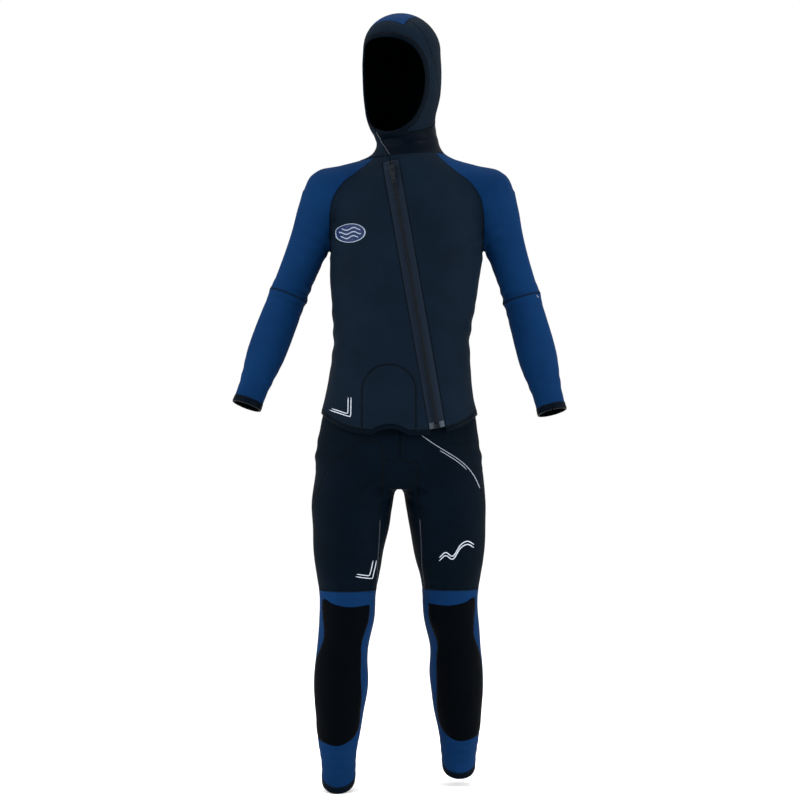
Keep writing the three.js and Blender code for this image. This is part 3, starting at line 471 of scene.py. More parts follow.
# ---------------------------------------------------------------- seams, as fields that are zero on the seam
def smooth_line(points, steps=8):
    """A smooth curve through front-view points, closely sampled."""
    q = np.array(points, float)
    q = np.vstack([2 * q[0] - q[1], q, 2 * q[-1] - q[-2]])
    out = []
    for i in range(1, len(q) - 2):
        for t in np.arange(steps) / steps:
            a, b, c, d = q[i - 1 : i + 3]
            bent = (2 * a - 5 * b + 4 * c - d) * t**2 + (3 * b - a - 3 * c + d) * t**3
            out.append(0.5 * (2 * b + (c - a) * t + bent))
    return np.array(out + [q[-2]])


def beside(line):
    """Signed distance from a front-view line: positive on its left, seen in the direction it runs."""
    line = np.array(line, float)

    def field(x, y, z):
        best = np.full(x.shape, 1e9)
        sign = np.ones(x.shape)
        for (ax, az), (bx, bz) in zip(line[:-1], line[1:]):
            dx, dz = bx - ax, bz - az
            t = np.clip(((x - ax) * dx + (z - az) * dz) / (dx * dx + dz * dz), 0, 1)
            d = np.hypot(x - ax - t * dx, z - az - t * dz)
            turn = np.sign(dx * (z - az) - dz * (x - ax))
            near = d < best - 1e-9
            best = np.where(near, d, best)
            sign = np.where(near, turn, sign)
        return best * sign

    return field


def measure(x, y, z, start, along):
    """How far points lie from a start along a direction."""
    return (x - start[0]) * along[0] + (y - start[1]) * along[1] + (z - start[2]) * along[2]


def plane(point, normal):
    n = unit(np.array(normal, float))
    return lambda x, y, z: measure(x, y, z, point, n)


def in_front(y, d):
    """A field kept to the front half of the body."""
    return np.where(y < 0, d, -50.0)


def arch_height(x, y):
    """The hem's height: up at the sides, with a low arch in front. Past the trunk it falls away from the arms."""
    arch = np.maximum(0, 1 - ((x + 21) / 39) ** 2) * np.clip(-y / 40, 0, 1)
    away = np.abs(x)
    rise = HEM_RISE * (np.minimum(away, TRUNK_EDGE) / HEM_HALF) ** 3.5
    return HEM_MIDDLE + rise + 14 * arch - 3 * np.maximum(away - TRUNK_EDGE, 0)


def above_hem(lift=0.0):
    return lambda x, y, z: z - arch_height(x, y) - lift


RAGLAN = smooth_line(
    [(50, 1425), (73, 1394), (105, 1366), (138, 1340), (160, 1308), (168, 1275), (170, 1235), (171, 1200),
     (176, 1160), (195, 1050), (215, 680)]
)
SEAM_X = 15.0


def raglan(side):
    """Positive on the sleeve's side."""
    line = np.stack([SEAM_X + side * RAGLAN[:, 0], RAGLAN[:, 1]], 1)
    field = beside(line)
    return lambda x, y, z: side * field(x, y, z)


def zip_across(x, y, z):
    return measure(x, y, z, zip_centre, zip_axis)


def zip_angle(x, y, z):
    return np.arctan2(measure(x, y, z, zip_centre, zip_along), measure(x, y, z, zip_centre, zip_out))


ZIP_END = zip_half_angle - 2.5 / zip_radius  # where the panels close over the tapes


def zip_gap(x, y, z):
    """Positive inside the slot that the zip takes."""
    across = ZIP_HALF - np.abs(zip_across(x, y, z))
    ends = (ZIP_END - zip_angle(x, y, z)) * zip_radius
    return in_front(y, np.minimum(across, ends))


def belly_arch(x, y, z):
    """Positive inside the arched panel."""
    centre_x, spring_z, half = -24, 880, 58
    straight = half - np.abs(x - centre_x)
    return in_front(y, np.where(z > spring_z, half - np.hypot(x - centre_x, z - spring_z), straight))


def face_hole(grow=0.0):
    """Positive inside the face opening, measured round the head."""

    def field(x, y, z):
        u = np.arctan2(*about_head(x, y)) * HEAD_ROUND
        v = z - FACE_Z
        half_u = math.radians(FACE_SPREAD) * HEAD_ROUND + grow
        half_v = np.where(v > 0, FACE_ABOVE, FACE_BELOW) + grow
        return -tube_section(u, v, half_u, half_v, 2.1)

    return field


def head_side(x, y, z):
    return about_head(x, y)[0]


COLLAR_BASE = plane((20, 0, 1402), (-0.07, 0, 1))
NECK_SEAM = plane((0, -90, 1440), (0, -0.4, 1))
FACE_PANEL = plane(HEAD + HEAD_FORWARD * 5 + np.array([0, 0, 1600]), HEAD_FORWARD + np.array([0, 0, -0.5]))
LAPEL = smooth_line([(-62, 1466), (-40, 1428), (-19, 1390), (-12, 1370)])
HIP_ARC_RIGHT = smooth_line(
    [(-260, 600), (-193, 640), (-156, 716), (-121, 745), (-94, 765), (-69, 775), (-48, 769), (-36, 748),
     (-31, 700), (-30, 640)]
)
HIP_LINE_LEFT = smooth_line([(12, 808), (39, 790), (76, 764), (133, 727), (160, 697), (187, 646), (230, 590)])
SHIN_PAD = [
    (-49, 412), (-5, 409), (30, 415), (53, 422), (47, 360), (45, 332), (54, 290), (57, 245), (52, 165), (44, 120),
    (25, 108), (-5, 105), (-33, 122), (-46, 160), (-44, 280), (-40, 325), (-48, 375),
]


def leg_x(side, z):
    return -2 + side * leg_at(z)[0]


def inside_outline(points):
    """Positive inside a closed front-view outline."""
    ring = np.array(points + points[:1], float)
    q = smooth_line(ring, 5)
    area = np.sum(q[:-1, 0] * q[1:, 1] - q[1:, 0] * q[:-1, 1])
    q = q if area > 0 else q[::-1]
    distance = beside(q)

    def field(x, y, z):
        d = np.abs(distance(x, y, z))
        odd = np.zeros(x.shape, bool)
        for (ax, az), (bx, bz) in zip(q[:-1], q[1:]):
            hit = (az > z) != (bz > z)
            odd ^= hit & (x < ax + (bx - ax) * (z - az) / (bz - az if bz != az else 1e-9))
        return np.where(odd, d, -d)

    return field


# ---------------------------------------------------------------- folds of the stretched sheet
def fold(p, centre, along, wave, length, width, height, phase=0.0):
    a = unit(np.array(along, float))
    r = p - np.array(centre, float)
    t = r @ a
    away = np.linalg.norm(r - t[:, None] * a, axis=1)
    return height * np.sin(2 * math.pi * t / wave + phase) * np.exp(-((t / length) ** 2) - (away / width) ** 2)


def ripple(p, seed, height, wave):
    """Slight unevenness over a whole garment."""
    rng = np.random.default_rng(seed)
    total = np.zeros(len(p))
    for _ in range(6):
        k = rng.normal(size=3)
        k *= 2 * math.pi / (np.linalg.norm(k) * wave * rng.uniform(0.7, 1.5))
        total += np.sin(p @ k + rng.uniform(0, 6.28))
    return total * height / 6**0.5


def jacket_folds(p):
    rows = []  # as fold takes them
    for name, (side, _, _) in ARMS.items():
        shoulder, elbow, upper, lower = arm_axis(name)
        inner = np.array([-side * 30.0, -22.0, 0.0])
        rows += [
            (elbow + inner, upper + lower, 26, 34, 38, 1.6),
            (elbow + np.array([side * 12.0, -34, 8]), upper + lower, 21, 24, 36, 1.0, 1.0),
            (shoulder + upper * 120 + inner, upper + np.array([0, 0.5, 0]), 34, 45, 34, 1.2, 2.0),
            (elbow + lower * 200, lower, 30, 42, 40, 0.7, 0.5),
            ((SEAM_X + side * 150, -40, 1205), (side * 0.5, 0, -0.8), 30, 36, 46, 1.9, 1.2),
            ((SEAM_X + side * 150, 60, 1205), (side * 0.5, 0, -0.8), 30, 36, 46, 1.9, 0.2),
            ((SEAM_X + side * 132, -60, 1010), (side * 0.25, 0, 1), 44, 62, 60, 1.5, 0.6),
            ((SEAM_X + side * 120, 70, 990), (-side * 0.3, 0, 1), 40, 62, 70, 1.8, 1.6),
        ]
    rows.append(((15, -60, 1418), (0, -0.3, 1), 22, 26, 80, 1.1, 0.4))
    rows.append(((15, 80, 1440), (0, 0.3, 1), 26, 40, 70, 1.4, 1.4))
    w = ripple(p, 3, 0.45, 95)
    for row in rows:
        w += fold(p, *row)
    belly = np.exp(-(((p[:, 0] + 24) / 34) ** 2) - ((p[:, 2] - 838) / 46) ** 2) * (p[:, 1] < 0)
    w += 3.8 * belly
    return w


def trousers_folds(p):
    w = ripple(p, 8, 0.45, 90)
    for name, side in SIDES:
        shift = STRIDE[name]
        for away, y, z, along, *size in (
            (52, -62, 668, (side * 0.55, 0, 0.8), 30, 46, 56, 2.0, 0.5),
            (70, 86, 672, (side * 0.3, 0, 0.9), 32, 40, 60, 2.2, 0.9),
            (114, 54 + shift * 0.42, 432, (0, 0, 1), 24, 40, 46, 1.8, 0.3),
            (112, -62 + shift * 0.42, 462, (0, 0, 1), 30, 34, 50, 1.1, 0.8),
            (134, -30 + shift * 0.9, 78, (0, 0.2, 1), 20, 36, 44, 1.0, 0.2),
            (150, 0, 745, (side * 0.3, 0, 1), 38, 34, 60, 1.0, 1.2),
        ):
            w += fold(p, (-2 + side * away, y, z), along, *size)
    return w


# ---------------------------------------------------------------- materials
def srgb(code):
    """A colour given as a hex code, in linear light."""
    parts = [int(code[i : i + 2], 16) / 255 for i in (1, 3, 5)]
    return (*[c / 12.92 if c <= 0.04045 else ((c + 0.055) / 1.055) ** 2.4 for c in parts], 1.0)


def add(tree, kind, settings=None, links=None):
    """Adds a node, sets its properties and sockets, and links sockets or nodes' first outputs to its inputs."""
    node = tree.nodes.new(kind if "Node" in kind else "ShaderNode" + kind)
    for key, value in (settings or {}).items():
        if isinstance(key, str) and hasattr(node, key):
            setattr(node, key, value)
        else:
            node.inputs[key].default_value = value
    for socket, source in (links or {}).items():
        tree.links.new(source.outputs[0] if hasattr(source, "outputs") else source, node.inputs[socket])
    return node


def material(name, rows, links, surface):
    """A Principled material. Each row is a node's label, kind, settings and links. A link is a label, or a label
    and an output after a dot. The last links and settings are the surface's own."""
    made = bpy.data.materials.new(name)
    made.use_nodes = True
    tree = made.node_tree
    tree.nodes.clear()
    nodes = {}

    def sources(wanted):
        found = {}
        for socket, source in wanted.items():
            label, _, output = source.partition(".")
            found[socket] = nodes[label].outputs[output or 0]
        return found

    for label, kind, settings, wanted in rows:
        nodes[label] = add(tree, kind, settings, sources(wanted))
    shader = add(tree, "BsdfPrincipled", surface, sources(links))
    add(tree, "OutputMaterial", {}, {"Surface": shader})
    made.diffuse_color = surface.get("Base Color", (0.1, 0.1, 0.1, 1))
    return made


CLOTH_MAP = ("uv", "UVMap", {"uv_map": "cloth"}, {})
PLACE = ("place", "TexCoord", {}, {})
AT_PLACE = {"Vector": "place.Object"}
ON_MAP = {"Vector": "uv"}


def jersey(name, dark, light, seam, rough, specular=0.02):
    """Nylon jersey laminated to foam: matt, a faint sheen, fine wales, and each panel sinks at its seams, with
    painted shade darkening the seam groove.
    """
    loops = {"Detail": 1.0, "Detail Scale": 2.0}
    wales = {"bands_direction": "X", "Scale": 1 / 0.0018 / 3.14, "Distortion": 0.6, **loops}
    courses = {"bands_direction": "Y", "Scale": 1 / 0.0022 / 3.14, "Distortion": 0.4, **loops}
    rows = [
        CLOTH_MAP,
        # Real wales are 0.6 mm apart. Drawn 1.8 mm apart so that they show.
        ("wales", "TexWave", wales, ON_MAP),
        ("courses", "TexWave", courses, ON_MAP),
        ("knit", "Math", {"operation": "MULTIPLY"}, {0: "wales.Fac", 1: "courses.Fac"}),
        PLACE,
        # Foam cells under the cloth show as slight lumps 10 to 20 mm across.
        ("foam", "TexNoise", {"Scale": 70.0, "Detail": 3.0, "Roughness": 0.55}, AT_PLACE),
        ("clouds", "TexNoise", {"Scale": 9.0, "Detail": 4.0, "Roughness": 0.6}, AT_PLACE),
        ("edge", "Attribute", {"attribute_name": "seam"}, {}),
        ("groove", "MapRange", {"From Max": 3.5, "interpolation_type": "SMOOTHSTEP"}, {"Value": "edge.Fac"}),
        ("shade", "MixRGB", {1: srgb(dark), 2: srgb(light)}, {0: "clouds.Fac"}),
        ("speck", "MapRange", {"To Min": 0.78, "To Max": 1.15}, {"Value": "knit"}),
        ("weave", "MixRGB", {"blend_type": "MULTIPLY", 0: 1.0}, {1: "shade", 2: "speck"}),
        # Painted shade: the seam colour darkens each panel into its seam groove.
        ("painted_seam_shade", "MixRGB", {1: srgb(seam)}, {0: "groove", 2: "weave"}),
        ("lumps", "Bump", {"Strength": 0.25, "Distance": 0.0015}, {"Height": "foam.Fac"}),
        ("sunk", "Bump", {"Strength": 0.5, "Distance": 0.0012}, {"Height": "groove", "Normal": "lumps"}),
        ("knitted", "Bump", {"Strength": 0.35, "Distance": 0.0004}, {"Height": "knit", "Normal": "sunk"}),
    ]
    surface = {"Roughness": rough, "IOR": 1.5, "Specular IOR Level": specular}
    return material(name, rows, {"Base Color": "painted_seam_shade", "Normal": "knitted"}, surface)


def grained(name, colour, rough, scale, strength, **surface):
    """An even colour with a fine grain, given by its scale and strength."""
    rows = [
        PLACE,
        ("grain", "TexNoise", {"Scale": scale, "Detail": 2.0}, AT_PLACE),
        ("pits", "Bump", {"Strength": strength, "Distance": 0.0002}, {"Height": "grain.Fac"}),
    ]
    return material(name, rows, {"Normal": "pits"}, {"Base Color": srgb(colour), "Roughness": rough, **surface})


def moulded_plastic(name, colour, rough):
    """Injection-moulded acetal or drawn nylon: low gloss."""
    return grained(name, colour, rough, 900.0, 0.15, **{"IOR": 1.48, "Specular IOR Level": 0.1})


def transfer_film(name, colour):
    """Heat-applied film print: thin, pale, with the cloth's grain just showing through."""
    return grained(name, colour, 0.5, 600.0, 0.2, **{"Specular IOR Level": 0.15})


# The third colour of each jersey is its painted seam shade.
BLACK_JERSEY = jersey("black_nylon_jersey", "#040d15", "#0d1926", "#030a11", 0.72)
# The same black jersey as the jacket's, in darker colours as painted shade on the trousers.
SHADED_BLACK_JERSEY = jersey("black_nylon_jersey_painted_darker", "#000409", "#030d18", "#000408", 0.72)
BLUE_JERSEY = jersey("blue_nylon_jersey", "#021b39", "#092b52", "#03152a", 0.74)
# Smooth-skin neoprene: the foam's own closed skin, softly glossy with fine creases.
SMOOTH_SKIN = material(
    "smooth_skin_neoprene",
    [
        PLACE,
        ("creases", "TexVoronoi", {"feature": "DISTANCE_TO_EDGE", "Scale": 420.0}, AT_PLACE),
        ("smudge", "TexNoise", {"Scale": 30.0, "Detail": 4.0}, AT_PLACE),
        ("gloss", "MapRange", {"To Min": 0.37, "To Max": 0.57}, {"Value": "smudge.Fac"}),
        ("relief", "Bump", {"Strength": 0.2, "Distance": 0.0003}, {"Height": "creases.Distance"}),
    ],
    {"Roughness": "gloss", "Normal": "relief"},
    {"Base Color": srgb("#01060e"), "IOR": 1.52, "Specular IOR Level": 0.018},
)
LINING = jersey("inner_lining", "#010203", "#020406", "#010102", 0.95, 0.0)
# Moulded rubber coating on a stretch pad: black, low gloss, embossed with small hexagons 4 mm across.
PAD_RUBBER = material(
    "moulded_pad_rubber",
    [
        CLOTH_MAP,
        ("cells", "TexVoronoi", {"feature": "DISTANCE_TO_EDGE", "Scale": 1 / 0.004, "Randomness": 0.15}, ON_MAP),
        (
            "raised", "MapRange", {"From Min": 0.02, "From Max": 0.16, "interpolation_type": "SMOOTHSTEP"},
            {"Value": "cells.Distance"},
        ),
        PLACE,
        ("scuffs", "TexNoise", {"Scale": 24.0, "Detail": 6.0, "Roughness": 0.65}, AT_PLACE),
        ("colour", "MixRGB", {1: srgb("#000102"), 2: srgb("#010307")}, {0: "scuffs.Fac"}),
        ("gloss", "MapRange", {"To Min": 0.48, "To Max": 0.72}, {"Value": "scuffs.Fac"}),
        ("emboss", "Bump", {"Strength": 0.6, "Distance": 0.0005}, {"Height": "raised"}),
    ],
    {"Base Color": "colour", "Roughness": "gloss", "Normal": "emboss"},
    {"IOR": 1.5, "Specular IOR Level": 0.014},
)
# Woven polyester zip tape: ribs across it every 1.6 mm, a little lighter than the suit.
TAPE = material(
    "woven_zip_tape",
    [
        CLOTH_MAP,
        ("ribs", "TexWave", {"bands_direction": "Y", "Scale": 1 / 0.0016 / 3.14, "Distortion": 0.3}, ON_MAP),
        ("cords", "TexWave", {"bands_direction": "X", "Scale": 1 / 0.0024 / 3.14}, ON_MAP),
        ("both", "Math", {"operation": "MULTIPLY"}, {0: "ribs.Fac", 1: "cords.Fac"}),
        ("colour", "MixRGB", {1: srgb("#0b121b"), 2: srgb("#1d2836")}, {0: "both"}),
        ("weave", "Bump", {"Strength": 0.6, "Distance": 0.0004}, {"Height": "both"}),
    ],
    {"Base Color": "colour", "Normal": "weave"},
    {"Roughness": 0.82, "Specular IOR Level": 0.04},
)
TOOTH = moulded_plastic("acetal_zip_teeth", "#0c1219", 0.42)
# Black-nickel-plated zinc casting, lightly brushed and worn: dark grey metal.
METAL = material(
    "black_nickel_plated_zinc",
    [
        PLACE,
        ("wear", "TexNoise", {"Scale": 260.0, "Detail": 5.0, "Roughness": 0.7}, AT_PLACE),
        ("rough", "MapRange", {"To Min": 0.22, "To Max": 0.5}, {"Value": "wear.Fac"}),
    ],
    {"Roughness": "rough"},
    {"Base Color": srgb("#212429"), "Metallic": 1.0},
)
END_FILM = transfer_film("zip_end_film", "#2a323b")
PIPING = transfer_film("grey_piping", "#757c87")
FILM = transfer_film("silver_grey_film", "#a4abb6")
THREAD = moulded_plastic("nylon_thread", "#050b12", 0.7)
PALE_THREAD = moulded_plastic("pale_nylon_thread", "#5c6069", 0.7)


BADGE_SUMS = (  # label, operation, numbers, links
    ("rim", "GREATER_THAN", {1: 0.93}, {0: "radius.Value"}),
    ("swing", "MULTIPLY", {1: 7.0}, {0: "split"}),
    ("wave", "SINE", {}, {0: "swing"}),
    ("bent", "MULTIPLY_ADD", {1: -0.13}, {0: "wave", 2: "split.Y"}),
    ("rows", "MULTIPLY", {1: 2.3}, {0: "bent"}),
    ("shifted", "ADD", {1: 10.5}, {0: "rows"}),
    ("share", "FRACT", {}, {0: "shifted"}),
    ("line", "COMPARE", {1: 0.5, 2: 0.13}, {0: "share"}),
    ("inner", "LESS_THAN", {1: 0.72}, {0: "radius.Value"}),
    ("waves", "MULTIPLY", {}, {0: "line", 1: "inner"}),
    ("pale", "MAXIMUM", {}, {0: "waves", 1: "rim"}),
)
# Welded badge: dark blue field, pale rim and three pale waves. Its map runs from -1 to 1 each way, with the rim
# at radius 1.
BADGE = material(
    "welded_badge",
    [
        CLOTH_MAP,
        ("split", "SeparateXYZ", {}, {0: "uv"}),
        ("radius", "VectorMath", {"operation": "LENGTH"}, {0: "uv"}),
        *[(label, "Math", {"operation": kind, **numbers}, links) for label, kind, numbers, links in BADGE_SUMS],
        ("colour", "MixRGB", {1: srgb("#0c1c3d"), 2: srgb("#7b8695")}, {0: "pale"}),
    ],
    {"Base Color": "colour"},
    {"Roughness": 0.5, "Specular IOR Level": 0.1},
)


# ---------------------------------------------------------------- pieces
def around(centre, radius, axis=(0.0, 0.0, 1.0), front=(0.0, 1.0, 0.0)):
    """A map in metres round an axis: distance round it, and distance along it. Its join is at the side away
    from front."""
    a = unit(np.array(axis, float))
    f = np.array(front, float)
    f = unit(f - a * (f @ a))
    s = np.cross(a, f)

    def chart(p):
        r = p - np.array(centre, float)
        return np.stack([np.arctan2(r @ s, r @ f), r @ a], 1), radius

    return chart


def show(name, data):
    made = bpy.data.objects.new(name, data)
    bpy.context.scene.collection.objects.link(made)
    return made


def mesh_of(name, points, faces):
    """A mesh from points in millimetres."""
    mesh = bpy.data.meshes.new(name)
    mesh.from_pydata((np.asarray(points, float) / 1000).tolist(), [], [list(f) for f in faces])
    return mesh


def build_mesh(name, points, faces, materials, smooth, face_slots=None):
    mesh = mesh_of(name, points, faces)
    for m in materials:
        mesh.materials.append(m)
    mesh.polygons.foreach_set("use_smooth", np.full(len(faces), smooth, bool))
    if face_slots is not None:
        mesh.polygons.foreach_set("material_index", np.array(face_slots, np.int32))
    mesh.update()
    return show(name, mesh)


def applied(made, modifier):
    """Keeps the result of a piece's only modifier as its mesh."""
    plain = bpy.data.meshes.new_from_object(made.evaluated_get(bpy.context.evaluated_depsgraph_get()))
    made.modifiers.remove(modifier)
    made.data = plain
    return made


def outward(made, weld=False):
    """Turns a closed mesh's faces outwards."""
    bm = bmesh.new()
    bm.from_mesh(made.data)
    if weld:
        bmesh.ops.remove_doubles(bm, verts=bm.verts, dist=1e-6)
    bmesh.ops.recalc_face_normals(bm, faces=bm.faces)
    bm.to_mesh(made.data)
    bm.free()


def read(items, key):
    """One whole number from each item."""
    out = np.empty(len(items), np.int32)
    items.foreach_get(key, out)
    return out


def joined(parts):
    """Points and faces of several closed shapes taken together."""
    points, faces, base = [], [], 0
    for p, f, *_ in parts:
        points.append(p)
        faces += [tuple(i + base for i in face) for face in f]
        base += len(p)
    return np.concatenate(points), faces


def loft(m, k, turned=False):
    """Faces of a closed bar through m rings of k points, wound the other way round when turned."""
    faces = []
    for i, j in np.ndindex(m - 1, k):
        a, b = i * k + j, i * k + (j + 1) % k
        faces.append((a, b, b + k, a + k) if turned else (a, a + k, b + k, b))
    last = range((m - 1) * k, m * k)
    return faces + [tuple(range(k)), tuple(last if turned else reversed(last))]


BODY_OF = {node: body for body, nodes in frame["record"]["behaviour"]["bodies"].items() for node in nodes}


def settle(made, node):
    """The piece rides on its body and stands for its CAD node."""
    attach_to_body(made, BODY_OF[node])
    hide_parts(node)
    return made


def attach(made, body):
    """A piece that stands for no CAD node rides on its garment."""
    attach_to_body(made, body)


def panel(node, cloth, look, folds, chart, lift=0.0, sink=0.6, lining=None, thick=SHEET, round_edge=2.4):
    """A closed piece of sheet on the form: its face, its back, and the cut edge between them."""
    away = cloth.from_rim()
    rise = folds(cloth.p) + lift
    count, rim = len(cloth.p), cloth.rim()
    face = cloth.p + cloth.n * (rise - sink * np.exp(-away / round_edge))[:, None]
    back = cloth.p + cloth.n * (rise - thick)[:, None]
    faces = list(cloth.f) + list(cloth.f[:, ::-1] + count)
    faces += [(b, a, a + count, b + count) for a, b in rim]
    tris = len(cloth.f)
    smooth = [True] * (2 * tris) + [False] * len(rim)
    slots = [0] * tris + [1] * tris + [0] * len(rim)
    made = build_mesh(node, np.concatenate([face, back]), faces, [look, lining or LINING], smooth, slots)
    mesh = made.data
    seam = mesh.attributes.new("seam", "FLOAT", "POINT")
    seam.data.foreach_set("value", np.concatenate([away, away]))
    flat, radius = chart(np.concatenate([cloth.p, cloth.p]))
    corner = read(mesh.loops, "vertex_index")
    first = np.repeat(flat[corner[read(mesh.polygons, "loop_start")], 0], read(mesh.polygons, "loop_total"))
    turn = flat[corner, 0]
    turn = turn + 2 * math.pi * np.round((first - turn) / (2 * math.pi))
    uv = mesh.uv_layers.new(name="cloth")
    uv.data.foreach_set("uv", np.stack([turn * radius / 1000, flat[corner, 1] / 1000], 1).ravel())
    settle(made, node)


def on_front(form, line, folds, lift):
    """Front-view points laid on the front of a form."""
    q = np.array(line, float)
    near = np.full(len(q), -190.0)
    far = np.zeros(len(q))
    for _ in range(26):
        middle = (near + far) / 2
        outside = form(q[:, 0], middle, q[:, 1]) > 0
        near = np.where(outside, middle, near)
        far = np.where(outside, far, middle)
    p = np.stack([q[:, 0], far, q[:, 1]], 1)
    return p + unit(gradient(form, p, 1.5)) * (folds(p) + lift)[:, None]


def run_of(line):
    """Distance along a line at each of its points."""
    return np.concatenate([[0], np.cumsum(np.linalg.norm(np.diff(line, axis=0), axis=1))])


def resample(line, at):
    run = run_of(line)
    return np.stack([np.interp(at, run, line[:, k]) for k in range(line.shape[1])], 1)


def ribbon_parts(form, line, width, folds, lift, height):
    """Points and faces of a low rounded strip with tapered ends, along a front-view line on a form."""
    line = np.array(line, float)
    length = run_of(line)[-1]
    q = resample(line, np.linspace(0, length, max(2, int(length / 3.0) + 1)))
    ahead = unit(np.gradient(q, axis=0))
    side = np.stack([-ahead[:, 1], ahead[:, 0]], 1)
    share = np.linspace(0, 1, len(q))
    wide = np.full(len(q), width / 2) * np.clip(np.minimum(share, 1 - share) * len(q) / 3 + 0.35, 0, 1)
    grid = np.stack([
        on_front(form, q + side * (wide * across)[:, None], folds, lift + height * up)
        for across, up in ((-1, 0), (-0.8, 0.75), (0, 1), (0.8, 0.75), (1, 0))
    ], 1)
    return grid.reshape(-1, 3), loft(*grid.shape[:2])


def strips(name, form, lines, width, folds, look, lift, height):
    """Narrow strips printed, sewn or welded on."""
    points, faces = joined([ribbon_parts(form, line, width, folds, lift, height) for line in lines])
    made = build_mesh(name, points, faces, [look], True)
    outward(made)
    return made


# ---------------------------------------------------------------- the two skins
def jacket_rise(p):
    """Folds that die away beside the zip, where the tapes hold the sheet flat."""
    calm = np.clip((np.abs(zip_across(*p.T)) - 15) / 45, 0.0, 1.0)
    calm = np.where((p[:, 1] < 0) & (zip_angle(*p.T) < ZIP_END + 0.02), calm, 1.0)
    return 1.7 * jacket_folds(p) * calm * calm


def trousers_rise(p):
    return 1.7 * trousers_folds(p)


ARM = {name: arm_axis(name) for name, _ in SIDES}
round_trunk = around((5, 0, 0), 160)
round_head = around((HEAD[0], HEAD[1], 0), HEAD_ROUND, front=-HEAD_FORWARD)
ROUND_UPPER = {name: around(shoulder, 45, upper) for name, (shoulder, _, upper, _) in ARM.items()}
ROUND_LOWER = {name: around(elbow, 40, lower) for name, (_, elbow, _, lower) in ARM.items()}
ROUND_LEG = {name: around((-2 + side * 118, 0, 0), 66) for name, side in SIDES}

jacket = Cloth(*skin(jacket_form, (-382, -132, 762), (380, 146, 1728)))
jacket = jacket.split(above_hem())[0]
for _, elbow, _, lower in ARM.values():
    jacket = jacket.split(plane(elbow + lower * FOREARM, lower))[1]
uncut_jacket = jacket
jacket = jacket.split(face_hole())[1].split(zip_gap)[1]

trousers = Cloth(*skin(trousers_form, (-240, -142, -34), (236, 150, 1064)))
trousers = trousers.split(plane((0, 0, WAIST_TOP), (0, 0, 1)))[1]


def ankle_plane(name, lift=0.0):
    """Positive below the slanted end of a leg."""
    return plane((0, STRIDE[name], ANKLE_Z[name] + lift), (0, ANKLE_RISE, -1))


# ---------------------------------------------------------------- the jacket's panels
SEAMS = []  # (piece of cloth, fields that are zero on its stitched edges, folds, lift)
hood, below = jacket.split(NECK_SEAM)
seal, hood = hood.split(face_hole(FACE_SEAL))
CROWN_END = plane(HEAD + HEAD_FORWARD * 74 + np.array([0, 0, 1684]), HEAD_FORWARD + np.array([0, 0, -0.5]))


def crown_field(x, y, z):
    strip = np.minimum(CROWN_HALF - np.abs(head_side(x, y, z)), -CROWN_END(x, y, z))
    return np.where(z > 1660, strip, np.minimum(strip, -FACE_PANEL(x, y, z)))


crown, hood = hood.split(crown_field)
face_cloth, sides = hood.split(FACE_PANEL)
side_left, side_right = sides.split(head_side)
collar_ring, trunk_cloth = below.split(COLLAR_BASE)
lapel_line = beside(LAPEL)
bib, collar_cloth = collar_ring.split(lambda x, y, z: np.minimum(lapel_line(x, y, z), 6 - y))

for node, cloth, look, chart, *rise in (
    ("face_seal", seal, SMOOTH_SKIN, round_head, 0.6, 1.0),
    ("hood_face_panel", face_cloth, BLACK_JERSEY, round_head),
    ("hood_crown", crown, BLUE_JERSEY, round_head),
    ("hood_side_left", side_left, BLACK_JERSEY, round_head),
    ("hood_side_right", side_right, BLACK_JERSEY, round_head),
    ("collar_bib", bib, SMOOTH_SKIN, round_trunk, -0.4),
    ("collar", collar_cloth, BLACK_JERSEY, round_trunk, 0.8),
):
    panel(node, cloth, look, jacket_rise, chart, *rise)
SEAMS += [
    (seal, [face_hole(FACE_SEAL)], jacket_rise, 0.6),
    (face_cloth, [FACE_PANEL], jacket_rise, 0.0),
    (crown, [crown_field], jacket_rise, 0.0),
    (collar_cloth, [NECK_SEAM, COLLAR_BASE, lapel_line], jacket_rise, 0.8),
    (bib, [NECK_SEAM], jacket_rise, 0.0),
]

for name, side in SIDES:
    _, elbow, upper, lower = ARM[name]
    sleeve, trunk_cloth = trunk_cloth.split(raglan(side))
    elbow_seam = plane(elbow, unit(upper + lower))
    low, high = sleeve.split(elbow_seam)
    cuff_plane = plane(elbow + lower * (FOREARM - CUFF), lower)
    cuff, low = low.split(cuff_plane)
    if side > 0:
        wrist = elbow + lower * FOREARM
        cut = plane(wrist, (1, 0, 0.25))
        cuff = cuff.split(lambda x, y, z: np.where(y < wrist[1], 1.4 - np.abs(cut(x, y, z)), -20.0))[1]
    panel(f"sleeve_upper_{name}", high, BLUE_JERSEY, jacket_rise, ROUND_UPPER[name])
    panel(f"sleeve_forearm_{name}", low, BLUE_JERSEY, jacket_rise, ROUND_LOWER[name])
    panel(f"cuff_{name}", cuff, SMOOTH_SKIN, jacket_rise, ROUND_LOWER[name], 0.5, 1.0)
    SEAMS += [
        (high, [raglan(side), elbow_seam], jacket_rise, 0.0),
        (cuff, [cuff_plane], jacket_rise, 0.5),
    ]

hem_seam, side_seam = above_hem(HEM_BAND), plane((0, 4, 0), (0, 1, 0))
band_cloth, panels = trunk_cloth.split(lambda x, y, z: -hem_seam(x, y, z))
back, fronts = panels.split(side_seam)
chest_left, rest = fronts.split(zip_across)
belly, chest_right = rest.split(belly_arch)
for node, cloth, look, *rise in (
    ("back_panel", back, BLACK_JERSEY),
    ("chest_panel_left", chest_left, BLACK_JERSEY),
    ("chest_panel_right", chest_right, BLACK_JERSEY),
    ("belly_panel", belly, BLACK_JERSEY, 0.3),
    ("jacket_hem_band", band_cloth, SMOOTH_SKIN, -0.3),
):
    panel(node, cloth, look, jacket_rise, round_trunk, *rise)
SEAMS += [
    (back, [side_seam, hem_seam], jacket_rise, 0.0),
    (belly, [belly_arch], jacket_rise, 0.3),
    (chest_left, [hem_seam], jacket_rise, 0.0),
    (chest_right, [hem_seam], jacket_rise, 0.0),
]

